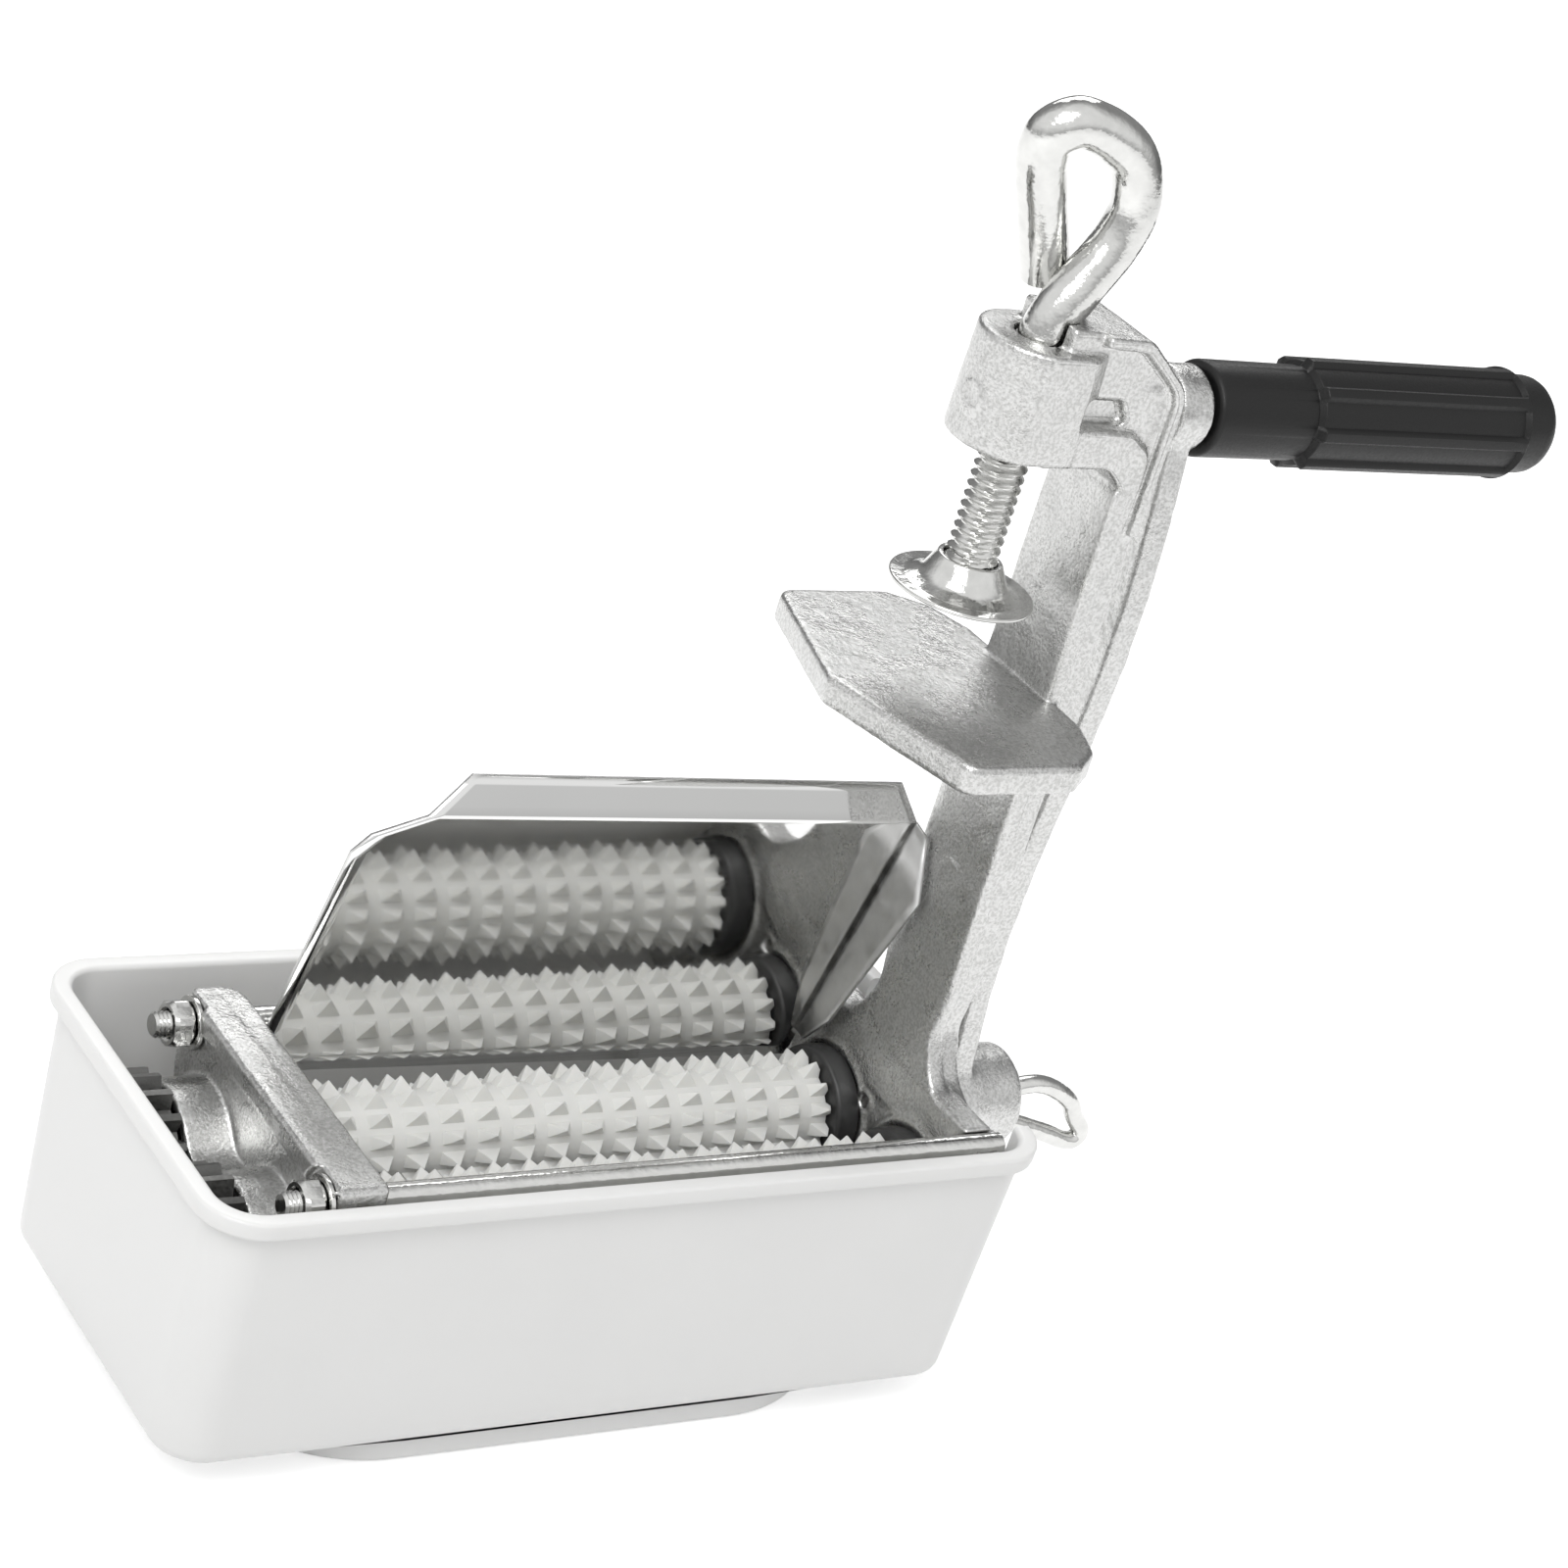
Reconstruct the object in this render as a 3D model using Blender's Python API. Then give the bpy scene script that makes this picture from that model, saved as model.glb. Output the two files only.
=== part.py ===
"""A hand-cranked two-roller fruit crusher that clamps to a table edge, standing in its catch tub.

Sizes are in millimetres and become metres in metres(). The origin is the centre of the tub's foot,
on the surface it stands on: +X runs along the rollers to the crank, +Y to the guard and +Z up.
"""

from math import atan2, ceil, cos, pi, radians, sin, sqrt, tan

import bmesh
import bpy
from mathutils import Vector

# Clearances
GAP = 0.3            # between pieces that touch on the real machine
RUNNING = 0.3        # radial, between a shaft and what turns on it
SIDES = 24           # facets of a round piece

# Rollers
ROLLER_LENGTH = 144.0
ROLLER_SPACING = 36.0
ROLLER_NIP = 6.8     # between the tooth tips of the two rollers
CRUSHER_Y = -6.1     # the plane halfway between the rollers
AXIS_Z = 47.8
TOOTH_PITCH = 9.2    # along the roller; the last column is cut short by the roller's end
TOOTH_HEIGHT = 3.8
TOOTH_ROWS = 14      # round the roller
TOOTH_TURN = radians(-8)  # of the first row, from +Z towards +Y
SHAFT_RADIUS = 5.0
DRIVE_Y = CRUSHER_Y + ROLLER_SPACING / 2
IDLER_Y = CRUSHER_Y - ROLLER_SPACING / 2
TOOTH_TIP = (ROLLER_SPACING - ROLLER_NIP) / 2
TOOTH_ROOT = TOOTH_TIP - TOOTH_HEIGHT

# Bushes
FLANGE_NIP = 5.6     # between the flanges of the two right bushes
BUSH_FLANGE_RADIUS = (ROLLER_SPACING - FLANGE_NIP) / 2
BUSH_FLANGE_WIDTH = 6.1
BUSH_FLOAT = 0.6     # between a roller's end and the flange beside it
BUSH_RADIUS = 9.0    # of the sleeve in its plate

# Places along the machine, from the left end of the tub to the right
LEFT_ROOM = 23.25    # inside the tub, left of the left plate's bar
LEFT_INSET = 18.0    # from the bar's outer side to the rollers
RIGHT_ROOM = 14.25   # inside the tub, right of the main casting's face
RIGHT_SEAT = BUSH_FLOAT + BUSH_FLANGE_WIDTH + GAP
TUB_LENGTH = LEFT_ROOM + LEFT_INSET + ROLLER_LENGTH + RIGHT_SEAT + RIGHT_ROOM  # inside, at the rim
BAR_LEFT = LEFT_ROOM - TUB_LENGTH / 2
ROLLER_START = BAR_LEFT + LEFT_INSET
ROLLER_END = ROLLER_START + ROLLER_LENGTH
PLATE_FACE = ROLLER_END + RIGHT_SEAT  # X of the casting's face beside the rollers

# Gears
GEAR_TEETH = 18
GEAR_WIDTH = 7.0
GEAR_TIP = ROLLER_SPACING / 2 + 1.4   # radius
GEAR_ROOT = ROLLER_SPACING / 2 - 2.3  # radius
SHAFT_END_LEFT = BAR_LEFT - 20.6
CLIP_RADIUS = 8.0
CLIP_WIDTH = 1.2
GROOVE_DEPTH = 0.9   # of the clips' grooves

# Guard sheet
GUARD_LEAN = radians(12.25)
SHEET = 1.0
GUARD_LEFT = ROLLER_START
GUARD_RIGHT = PLATE_FACE - 3.0
GUARD_BOTTOM = AXIS_Z + 8.9
GUARD_FOLD = AXIS_Z + 83.5
GUARD_TILT = radians(2.4)  # its right end hangs low by this angle, in its own plane
FLANGE_HEIGHT = 9.5  # of its top flange
FLANGE_BEND = radians(31)  # backward, away from the rollers
FLANGE_INSET = 15.0  # of the flange's left end from the panel's
FLANGE_RAKE = 10.0   # how far its left end leans in over its height
FLANGE_RIGHT_RAKE = 6.0
CORNER_DROP = 7.0    # height of the corner cut off the panel's left end
HOOK_LENGTH = 10.0   # of the clips that hold it
HOOK_SHEET = 1.6


def guard_y(z):
    """Y of the main panel's middle at a height: the panel just clears the bush beside the roller."""
    offset = max(BUSH_FLANGE_RADIUS, TOOTH_TIP) + GAP + SHEET / 2 + 0.05
    return DRIVE_Y + offset / cos(GUARD_LEAN) - (z - AXIS_Z) * tan(GUARD_LEAN)


# Tie rods
ROD_Z = AXIS_Z + 23.2
ROD_STANDOFF = 5.0   # of the rear rod's axis behind the guard
ROD_Y = guard_y(ROD_Z) + ROD_STANDOFF - CRUSHER_Y  # either side of the middle plane
TIE_RADIUS = 3.0
NUT_ACROSS = 10.0
NUT_THICK = 5.0
WASHER_RADIUS = 6.2
WASHER_THICK = 1.0
ROD_END_LEFT = BAR_LEFT - 8.5

# Left end plate
BAR_WIDTH = 13.5
BAR_HALF_LENGTH = ROD_Y + 5.6
BAR_TOP = ROD_Z + 6.3
BAR_DEPTH = 5.0
WEB_LEFT = BAR_LEFT + 1.5
WEB_THICK = 6.0
HOUSING_LEFT = BAR_LEFT - 10.0
HOUSING_RADIUS = 17.0
HOUSING_WALL = 2.5
HOUSING_FILLET = 8.5
STAND_HALF = 7.5     # half width of the foot it stands on

# Tub
TUB_ROOM = 0.9       # between the left plate's bar and the near wall
TUB_WIDTH = 2 * (BAR_HALF_LENGTH - CRUSHER_Y + TUB_ROOM)  # inside, at the rim
TUB_HEIGHT = 74.3
TUB_WALL = 2.0
TUB_TAPER = 2.0      # how far each wall leans in by the floor
TUB_CORNER = 9.0
RIM_REACH = 2.6      # how far the rolled rim stands out of the wall
RIM_DROP = 4.5
FOOT_LENGTH = TUB_LENGTH - 41.5
FOOT_WIDTH = TUB_WIDTH - 8.0
FOOT_HEIGHT = 8.0
FOOT_CORNER = 38.0
FLOOR_Z = FOOT_HEIGHT + TUB_WALL

# Main casting
PLATE_THICK = 8.0
PLATE_HALF_WIDTH = ROD_Y + 4.0
PLATE_TOP = ROD_Z + 3.3
STAND_OUT = 31.4     # outer and inner sides of its two feet, from the middle plane
STAND_IN = 18.6
BOSS_REACH = 18.0    # of the bearing bosses, outside the plate
BOSS_RADIUS = 13.0
BOSS_END_WALL = 6.0
IDLER_REACH = 7.0     # of the idler's bearing boss, which is blind
IDLER_END_WALL = 2.5
LUG_RADIUS = 6.0
LUG_REACH = 3.5
PIN_RADIUS = 1.6
LEG_Y = CRUSHER_Y + 2.0  # the plane of the leg, the jaw and the clamp screw
LEG_HALF_WIDTH = 14.0
LEG_THICK = 11.0
LEG_WEB = 6.5        # the leg's skin between its two edge ribs
LEG_RIB = 5.0
FLARE = 16.0         # how far the leg's root spreads at each side
JAW_RISE = 127.8     # from the roller axes to the jaw's upper face
JAW_TOP = AXIS_Z + JAW_RISE
JAW_THICK = 7.0
JAW_HALF_WIDTH = 42.0
JAW_LENGTH = 52.0
CLAMP_THROAT = 57.6  # between the jaw and the arm
CLAMP_X = PLATE_FACE - 23.6
ARM_BOTTOM = JAW_TOP + CLAMP_THROAT
ARM_TOP = ARM_BOTTOM + 31.3
ARM_HALF_WIDTH = 12.5
POCKET_DEPTH = 5.0

# Clamp screw
SCREW_RADIUS = 6.0
HEAD_RADIUS = SCREW_RADIUS + 8.4  # of the boss that it runs in
HEAD_DRAFT = 0.7     # how much wider the boss is at its foot
HEAD_TOP = ARM_BOTTOM + 26.1
ROD_RADIUS = 4.9     # of its bent eye
EYE_PATH = (  # of its centre line, from the screw's axis, the leg's plane and the head's top
    (0, 0, -2), (0.3, 0, 1.5), (2.7, 0, 6.7), (7.8, 0, 14.4), (11.8, 0, 21.5), (13.9, 0, 29.6),
    (12.5, 0.6, 37.0), (8.9, 1.0, 42.6), (3.1, 1.6, 45.9), (-2.4, 2.3, 47.8), (-7.8, 3.0, 48.3),
    (-12.0, 4.6, 44.6), (-11.6, 6.0, 39.4), (-9.6, 7.0, 34.4), (-3.8, 8.8, 23.5), (3.7, 10.8, 9.2),
)
PAD_RIM = JAW_TOP + 23.0
PAD_THICK = 1.6
PAD_HUB_RADIUS = SCREW_RADIUS + 1.6
PAD_HUB_TOP = PAD_RIM + 6.9
PAD_CONE_RADIUS = SCREW_RADIUS + 6.3
PAD_RADIUS = PAD_CONE_RADIUS + 4.5

# Crank and its grip
CRANK_THROW = 189.0
ARM_FACE = PLATE_FACE + PLATE_THICK + BOSS_REACH + 3.0  # X of the crank arm's inner face
ARM_THICK = 7.0
ARM_WIDTH = 19.0
ARM_BOW = 4.5
HUB_RADIUS = 13.5
HUB_END = ARM_FACE + 23.0
EYE_BOSS_RADIUS = 10.0
SPINDLE_RADIUS = 4.5
SPINDLE_HEAD = 6.5   # radius of its head inside the grip
GRIP_START = ARM_FACE + 10.0
GRIP_LENGTH = 108.0
GRIP_END = GRIP_START + GRIP_LENGTH
GRIP_NECK = 11.3     # radii
GRIP_BODY = 13.7
GRIP_CAP = 12.1
NECK_LENGTH = 32.0
CAP_LENGTH = 12.5

# Thumb screw
THUMB_RADIUS = 2.5
THUMB_DEPTH = 14.0
THUMB_LENGTH = 37.0  # outside the crank's hub
SHAFT_END_RIGHT = HUB_END - 4.0

MATERIALS = {
    "white_plastic": ((0.85, 0.85, 0.84, 1), 0.35, 0.0),
    "white_nylon": ((0.88, 0.88, 0.86, 1), 0.4, 0.0),
    "black_plastic": ((0.02, 0.02, 0.02, 1), 0.45, 0.0),
    "cast_metal": ((0.62, 0.62, 0.62, 1), 0.4, 1.0),
    "plated_steel": ((0.72, 0.72, 0.71, 1), 0.25, 1.0),
    "mirror_sheet": ((0.8, 0.8, 0.8, 1), 0.06, 1.0),
}


# ---------------------------------------------------------------- building blocks

def metres(point):
    return Vector(point) * 0.001


def add_object(name, mesh, material):
    obj = bpy.data.objects.new(name, mesh)
    mesh.materials.append(bpy.data.materials[material])
    bpy.context.scene.collection.objects.link(obj)
    mesh.shade_smooth()
    mesh.set_sharp_from_angle(angle=radians(35))
    return obj


def mesh_from(name, points, faces):
    """A closed mesh with its faces pointing out."""
    mesh = bpy.data.meshes.new(name)
    mesh.from_pydata([metres(p) for p in points], [], faces)
    work = bmesh.new()
    work.from_mesh(mesh)
    bmesh.ops.recalc_face_normals(work, faces=work.faces)
    work.to_mesh(mesh)
    work.free()
    return mesh


def on_axis(axis, along, u, v):
    """A point `along` one axis, with u and v on the next two in the order X, Y, Z."""
    return {"X": (along, u, v), "Y": (u, along, v), "Z": (u, v, along)}[axis]


def solid_plate(name, outline, low, high, axis, material):
    """An outline of (u, v) points carried along an axis from low to high."""
    count = len(outline)
    points = [on_axis(axis, low, u, v) for u, v in outline]
    points += [on_axis(axis, high, u, v) for u, v in outline]
    faces = [tuple(range(count)), tuple(range(2 * count - 1, count - 1, -1))]
    for i in range(count):
        j = (i + 1) % count
        faces.append((i, j, count + j, count + i))
    return add_object(name, mesh_from(name, points, faces), material)


def turned(name, profile, axis, centre, material, sides=SIDES, ring=False):
    """A profile of (along, radius) points turned round an axis through centre (u, v).

    A solid's profile starts and ends on the axis. A ring's closes on itself.
    """
    points = []
    rows = []
    for along, radius in profile:
        if radius == 0:
            rows.append([len(points)] * sides)
            points.append(on_axis(axis, along, *centre))
            continue
        rows.append(list(range(len(points), len(points) + sides)))
        for k in range(sides):
            angle = 2 * pi * (k + 0.5) / sides
            u = centre[0] + radius * cos(angle)
            v = centre[1] + radius * sin(angle)
            points.append(on_axis(axis, along, u, v))
    faces = []
    pairs = list(zip(rows, rows[1:] + rows[:1] if ring else rows[1:]))
    for first, second in pairs:
        for k in range(sides):
            j = (k + 1) % sides
            corners = dict.fromkeys((first[k], first[j], second[j], second[k]))
            faces.append(tuple(corners))
    return add_object(name, mesh_from(name, points, faces), material)


def rounded(corners, step=22.5):
    """An outline whose corners (u, v, radius) become arcs, one facet each `step` degrees."""
    outline = []
    count = len(corners)
    for i in range(count):
        u, v, radius = corners[i]
        here = Vector((u, v))
        before = (Vector(corners[i - 1][:2]) - here).normalized()
        after = (Vector(corners[(i + 1) % count][:2]) - here).normalized()
        if radius == 0:
            outline.append((u, v))
            continue
        half = before.angle(after) / 2
        start = here + before * (radius / tan(half))
        centre = here + (before + after).normalized() * (radius / sin(half))
        turn = before.x * after.y - before.y * after.x
        sweep = (pi - 2 * half) * (1 if turn > 0 else -1)
        facets = max(1, ceil(abs(sweep) / radians(step)))
        arm = start - centre
        for k in range(facets + 1):
            angle = -sweep * k / facets
            outline.append((
                centre.x + arm.x * cos(angle) - arm.y * sin(angle),
                centre.y + arm.x * sin(angle) + arm.y * cos(angle),
            ))
    return outline


def box_outline(width, depth, corner, middle=(0, 0)):
    u, v = width / 2, depth / 2
    corners = ((-u, -v), (u, -v), (u, v), (-u, v))
    return rounded([(middle[0] + a, middle[1] + b, corner) for a, b in corners], 15)


def stacked(name, outlines, material):
    """Outlines of equal length at their heights, skinned in order and closed at both ends."""
    count = len(outlines[0][0])
    points = [(u, v, z) for outline, z in outlines for u, v in outline]
    faces = [tuple(range(count)), tuple(range(len(points) - 1, len(points) - count - 1, -1))]
    for row in range(len(outlines) - 1):
        for i in range(count):
            j = (i + 1) % count
            low, high = row * count, (row + 1) * count
            faces.append((low + i, low + j, high + j, high + i))
    return add_object(name, mesh_from(name, points, faces), material)


def rod(name, path, radius, material, sides=12):
    """A round rod along a path of points, by a bevelled curve with filled caps."""
    curve = bpy.data.curves.new(name, "CURVE")
    curve.dimensions = "3D"
    curve.bevel_depth = radius * 0.001
    curve.bevel_resolution = sides // 4 - 1
    curve.use_fill_caps = True
    spline = curve.splines.new("POLY")
    spline.points.add(len(path) - 1)
    for point, place in zip(spline.points, path):
        point.co = (*metres(place), 1)
    carrier = bpy.data.objects.new(name, curve)
    bpy.context.scene.collection.objects.link(carrier)
    graph = bpy.context.evaluated_depsgraph_get()
    mesh = bpy.data.meshes.new_from_object(carrier.evaluated_get(graph))
    bpy.data.objects.remove(carrier)
    work = bmesh.new()
    work.from_mesh(mesh)
    bmesh.ops.remove_doubles(work, verts=work.verts, dist=1e-6)
    bmesh.ops.recalc_face_normals(work, faces=work.faces)
    work.to_mesh(mesh)
    work.free()
    mesh.materials.clear()
    return add_object(name, mesh, material)


def apply_modifiers(obj):
    graph = bpy.context.evaluated_depsgraph_get()
    old = obj.data
    obj.data = bpy.data.meshes.new_from_object(obj.evaluated_get(graph))
    obj.modifiers.clear()
    bpy.data.meshes.remove(old)
    obj.data.name = obj.name
    return obj


def combine(obj, others, operation):
    """Joins others to obj, or cuts them from it, and removes them."""
    for other in others:
        boolean = obj.modifiers.new(operation.lower(), "BOOLEAN")
        boolean.operation = operation
        boolean.solver = "EXACT"
        boolean.object = other
        apply_modifiers(obj)
        bpy.data.objects.remove(other)
    return obj


def join(obj, *others):
    return combine(obj, others, "UNION")


def cut(obj, *others):
    return combine(obj, others, "DIFFERENCE")


def cylinder(name, low, high, radius, axis, centre, material="cast_metal", sides=SIDES):
    profile = [(low, 0), (low, radius), (high, radius), (high, 0)]
    return turned(name, profile, axis, centre, material, sides)


def tube(name, low, high, outer, inner, axis, centre, material, sides=SIDES):
    profile = [(low, outer), (high, outer), (high, inner), (low, inner)]
    return turned(name, profile, axis, centre, material, sides, ring=True)


def block(name, low, high, material="cast_metal"):
    outline = [(low[0], low[1]), (high[0], low[1]), (high[0], high[1]), (low[0], high[1])]
    return solid_plate(name, outline, low[2], high[2], "Z", material)


# ---------------------------------------------------------------- the tub

def tub_outline(depth, grow):
    """The tub's outline at a depth under the rim, grown outwards."""
    lean = TUB_TAPER * depth / (TUB_HEIGHT - FLOOR_Z)
    width = TUB_LENGTH + 2 * (grow - lean)
    return box_outline(width, TUB_WIDTH + 2 * (grow - lean), TUB_CORNER + grow)


def make_tub():
    rim_low = TUB_HEIGHT - RIM_DROP
    reach = TUB_WALL + RIM_REACH
    tub = stacked("tub", [
        (tub_outline(TUB_HEIGHT - FOOT_HEIGHT, 0), FOOT_HEIGHT),
        (tub_outline(TUB_HEIGHT - FLOOR_Z, TUB_WALL), FLOOR_Z),
        (tub_outline(RIM_DROP, TUB_WALL), rim_low),
        (tub_outline(RIM_DROP, reach), rim_low + 0.4),
        (tub_outline(0, reach), TUB_HEIGHT - 1.2),
        (tub_outline(0, reach - 1.2), TUB_HEIGHT),
    ], "white_plastic")
    foot = stacked("foot", [
        (box_outline(FOOT_LENGTH - 3, FOOT_WIDTH - 3, FOOT_CORNER - 1.5), 0),
        (box_outline(FOOT_LENGTH, FOOT_WIDTH, FOOT_CORNER), 1.5),
        (box_outline(FOOT_LENGTH, FOOT_WIDTH, FOOT_CORNER), FOOT_HEIGHT + 1),
    ], "white_plastic")
    inside = stacked("inside", [
        (tub_outline(TUB_HEIGHT - FLOOR_Z, 0), FLOOR_Z),
        (tub_outline(-2, 0), TUB_HEIGHT + 2),
    ], "white_plastic")
    wall = 2 * TUB_WALL
    basin = solid_plate(
        "basin",
        box_outline(FOOT_LENGTH - wall, FOOT_WIDTH - wall, FOOT_CORNER - TUB_WALL),
        TUB_WALL, FLOOR_Z + 1, "Z", "white_plastic",
    )
    slot_low = AXIS_Z - BOSS_RADIUS - 1.5
    slot_half = ROLLER_SPACING / 2 + BOSS_RADIUS + 1.4
    y0, y1 = CRUSHER_Y - slot_half, CRUSHER_Y + slot_half
    slot = solid_plate("slot", rounded([
        (y0, TUB_HEIGHT + 5, 0), (y0, slot_low, 8), (y1, slot_low, 8), (y1, TUB_HEIGHT + 5, 0),
    ]), TUB_LENGTH / 2 - 8, TUB_LENGTH / 2 + 12, "X", "white_plastic")
    join(tub, foot)
    cut(tub, inside, basin, slot)


# ---------------------------------------------------------------- the rollers and their drive

def make_roller(name, y):
    """A core covered with four-sided pyramids, row by row, cut to length and bored for its shaft."""
    step = 2 * pi / TOOTH_ROWS
    columns = ceil(ROLLER_LENGTH / TOOTH_PITCH)

    def place(column, radius, turn):
        angle = turn * step + TOOTH_TURN
        return (ROLLER_START + column * TOOTH_PITCH, y + radius * sin(angle), AXIS_Z + radius * cos(angle))

    rows = range(TOOTH_ROWS)
    points = [place(column, TOOTH_ROOT, row + 0.5) for column in range(columns + 1) for row in rows]
    faces = [tuple(range(TOOTH_ROWS)), tuple(reversed(range(columns * TOOTH_ROWS, len(points))))]
    for column in range(columns):
        for row in rows:
            a = column * TOOTH_ROWS + row
            b = column * TOOTH_ROWS + (row + 1) % TOOTH_ROWS
            base = [a, b, b + TOOTH_ROWS, a + TOOTH_ROWS]
            faces += [(base[k], base[(k + 1) % 4], len(points)) for k in range(4)]
            points.append(place(column + 0.5, TOOTH_TIP, row + 1))
    roller = add_object(name, mesh_from(name, points, faces), "white_nylon")
    place = (y, AXIS_Z)
    beyond = ROLLER_END + 2 * TOOTH_PITCH
    end = cylinder("end", ROLLER_END, beyond, TOOTH_TIP + 5, "X", place)
    bore = cylinder("bore", ROLLER_START - 5, beyond, SHAFT_RADIUS + GAP, "X", place, sides=16)
    return cut(roller, end, bore)


def gear_outline(y, phase):
    """Straight-flanked teeth, each narrower than its gap for backlash."""
    outline = []
    for tooth in range(GEAR_TEETH):
        for share, radius in ((-0.34, GEAR_ROOT), (-0.12, GEAR_TIP), (0.12, GEAR_TIP), (0.34, GEAR_ROOT)):
            angle = 2 * pi * (tooth + share + phase) / GEAR_TEETH
            outline.append((y + radius * cos(angle), AXIS_Z + radius * sin(angle)))
    return outline


def make_gear(name, y, phase):
    left = gear_left()
    gear = solid_plate(name, gear_outline(y, phase), left, left + GEAR_WIDTH, "X", "plated_steel")
    bore = cylinder("bore", left - 5, left + GEAR_WIDTH + 5, SHAFT_RADIUS + GAP, "X", (y, AXIS_Z), sides=16)
    return cut(gear, bore)


def gear_left():
    return SHAFT_END_LEFT + 1.0 + CLIP_WIDTH + GAP


def make_clip(name, y):
    """A split ring in a groove of the shaft, outside the gear."""
    left = SHAFT_END_LEFT + 1.0
    inner = SHAFT_RADIUS - GROOVE_DEPTH
    clip = tube(name, left, left + CLIP_WIDTH, CLIP_RADIUS, inner, "X", (y, AXIS_Z), "plated_steel", 16)
    mouth = block("mouth", (left - 2, y - 3.0, AXIS_Z), (left + 4, y + 3.0, AXIS_Z + 12))
    return cut(clip, mouth)


def shaft_profile(end):
    """Radii along a shaft, with the groove that its clip sits in."""
    clip = SHAFT_END_LEFT + 1.0
    groove = SHAFT_RADIUS - GROOVE_DEPTH - GAP
    return [
        (SHAFT_END_LEFT, 0), (SHAFT_END_LEFT, SHAFT_RADIUS), (clip - GAP, SHAFT_RADIUS),
        (clip - GAP, groove), (clip + CLIP_WIDTH + GAP, groove),
        (clip + CLIP_WIDTH + GAP, SHAFT_RADIUS), (end, SHAFT_RADIUS), (end, 0),
    ]


def make_shafts():
    place = (DRIVE_Y, AXIS_Z)
    end = SHAFT_END_RIGHT
    drive = turned("drive_shaft", shaft_profile(end), "X", place, "plated_steel", 16)
    cut(drive, cylinder("hole", end - THUMB_DEPTH, end + 5, THUMB_RADIUS + RUNNING, "X", place, sides=12))
    idle_end = bush_seat_end(IDLER_Y) - 1.0
    turned("idler_shaft", shaft_profile(idle_end), "X", (IDLER_Y, AXIS_Z), "plated_steel", 16)


def bush_seat_end(y):
    """X where the right bush's seat ends inside the bearing boss at y."""
    depth = BOSS_REACH - BOSS_END_WALL if y == DRIVE_Y else IDLER_REACH - IDLER_END_WALL
    return PLATE_FACE + PLATE_THICK + depth


def make_bushes():
    """Flanged bushes: the roller's end runs on the flange and the shaft in the sleeve."""
    flange = PLATE_FACE - GAP
    for name, y in (("drive_bush_right", DRIVE_Y), ("idler_bush_right", IDLER_Y)):
        bore, sleeve_end = SHAFT_RADIUS + RUNNING, bush_seat_end(y) - GAP
        turned(name, [
            (ROLLER_END + BUSH_FLOAT, bore), (ROLLER_END + BUSH_FLOAT, BUSH_FLANGE_RADIUS),
            (flange, BUSH_FLANGE_RADIUS), (flange, BUSH_RADIUS), (sleeve_end, BUSH_RADIUS),
            (sleeve_end, bore),
        ], "X", (y, AXIS_Z), "black_plastic", ring=True)
    flange = WEB_LEFT + WEB_THICK + GAP
    for name, y in (("drive_bush_left", DRIVE_Y), ("idler_bush_left", IDLER_Y)):
        bore = SHAFT_RADIUS + RUNNING
        turned(name, [
            (WEB_LEFT - 3.0, bore), (WEB_LEFT - 3.0, BUSH_RADIUS), (flange, BUSH_RADIUS),
            (flange, BUSH_FLANGE_RADIUS - 3), (ROLLER_START - BUSH_FLOAT, BUSH_FLANGE_RADIUS - 3),
            (ROLLER_START - BUSH_FLOAT, bore),
        ], "X", (y, AXIS_Z), "black_plastic", ring=True)


# ---------------------------------------------------------------- the castings

def mirrored(half, middle):
    """An outline from the corners of its +Y half, listed from top to bottom as (offset, z, radius)."""
    right = [(middle + offset, z, radius) for offset, z, radius in half]
    left = [(middle - offset, z, radius) for offset, z, radius in reversed(half)]
    return rounded(right + left)


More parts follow.
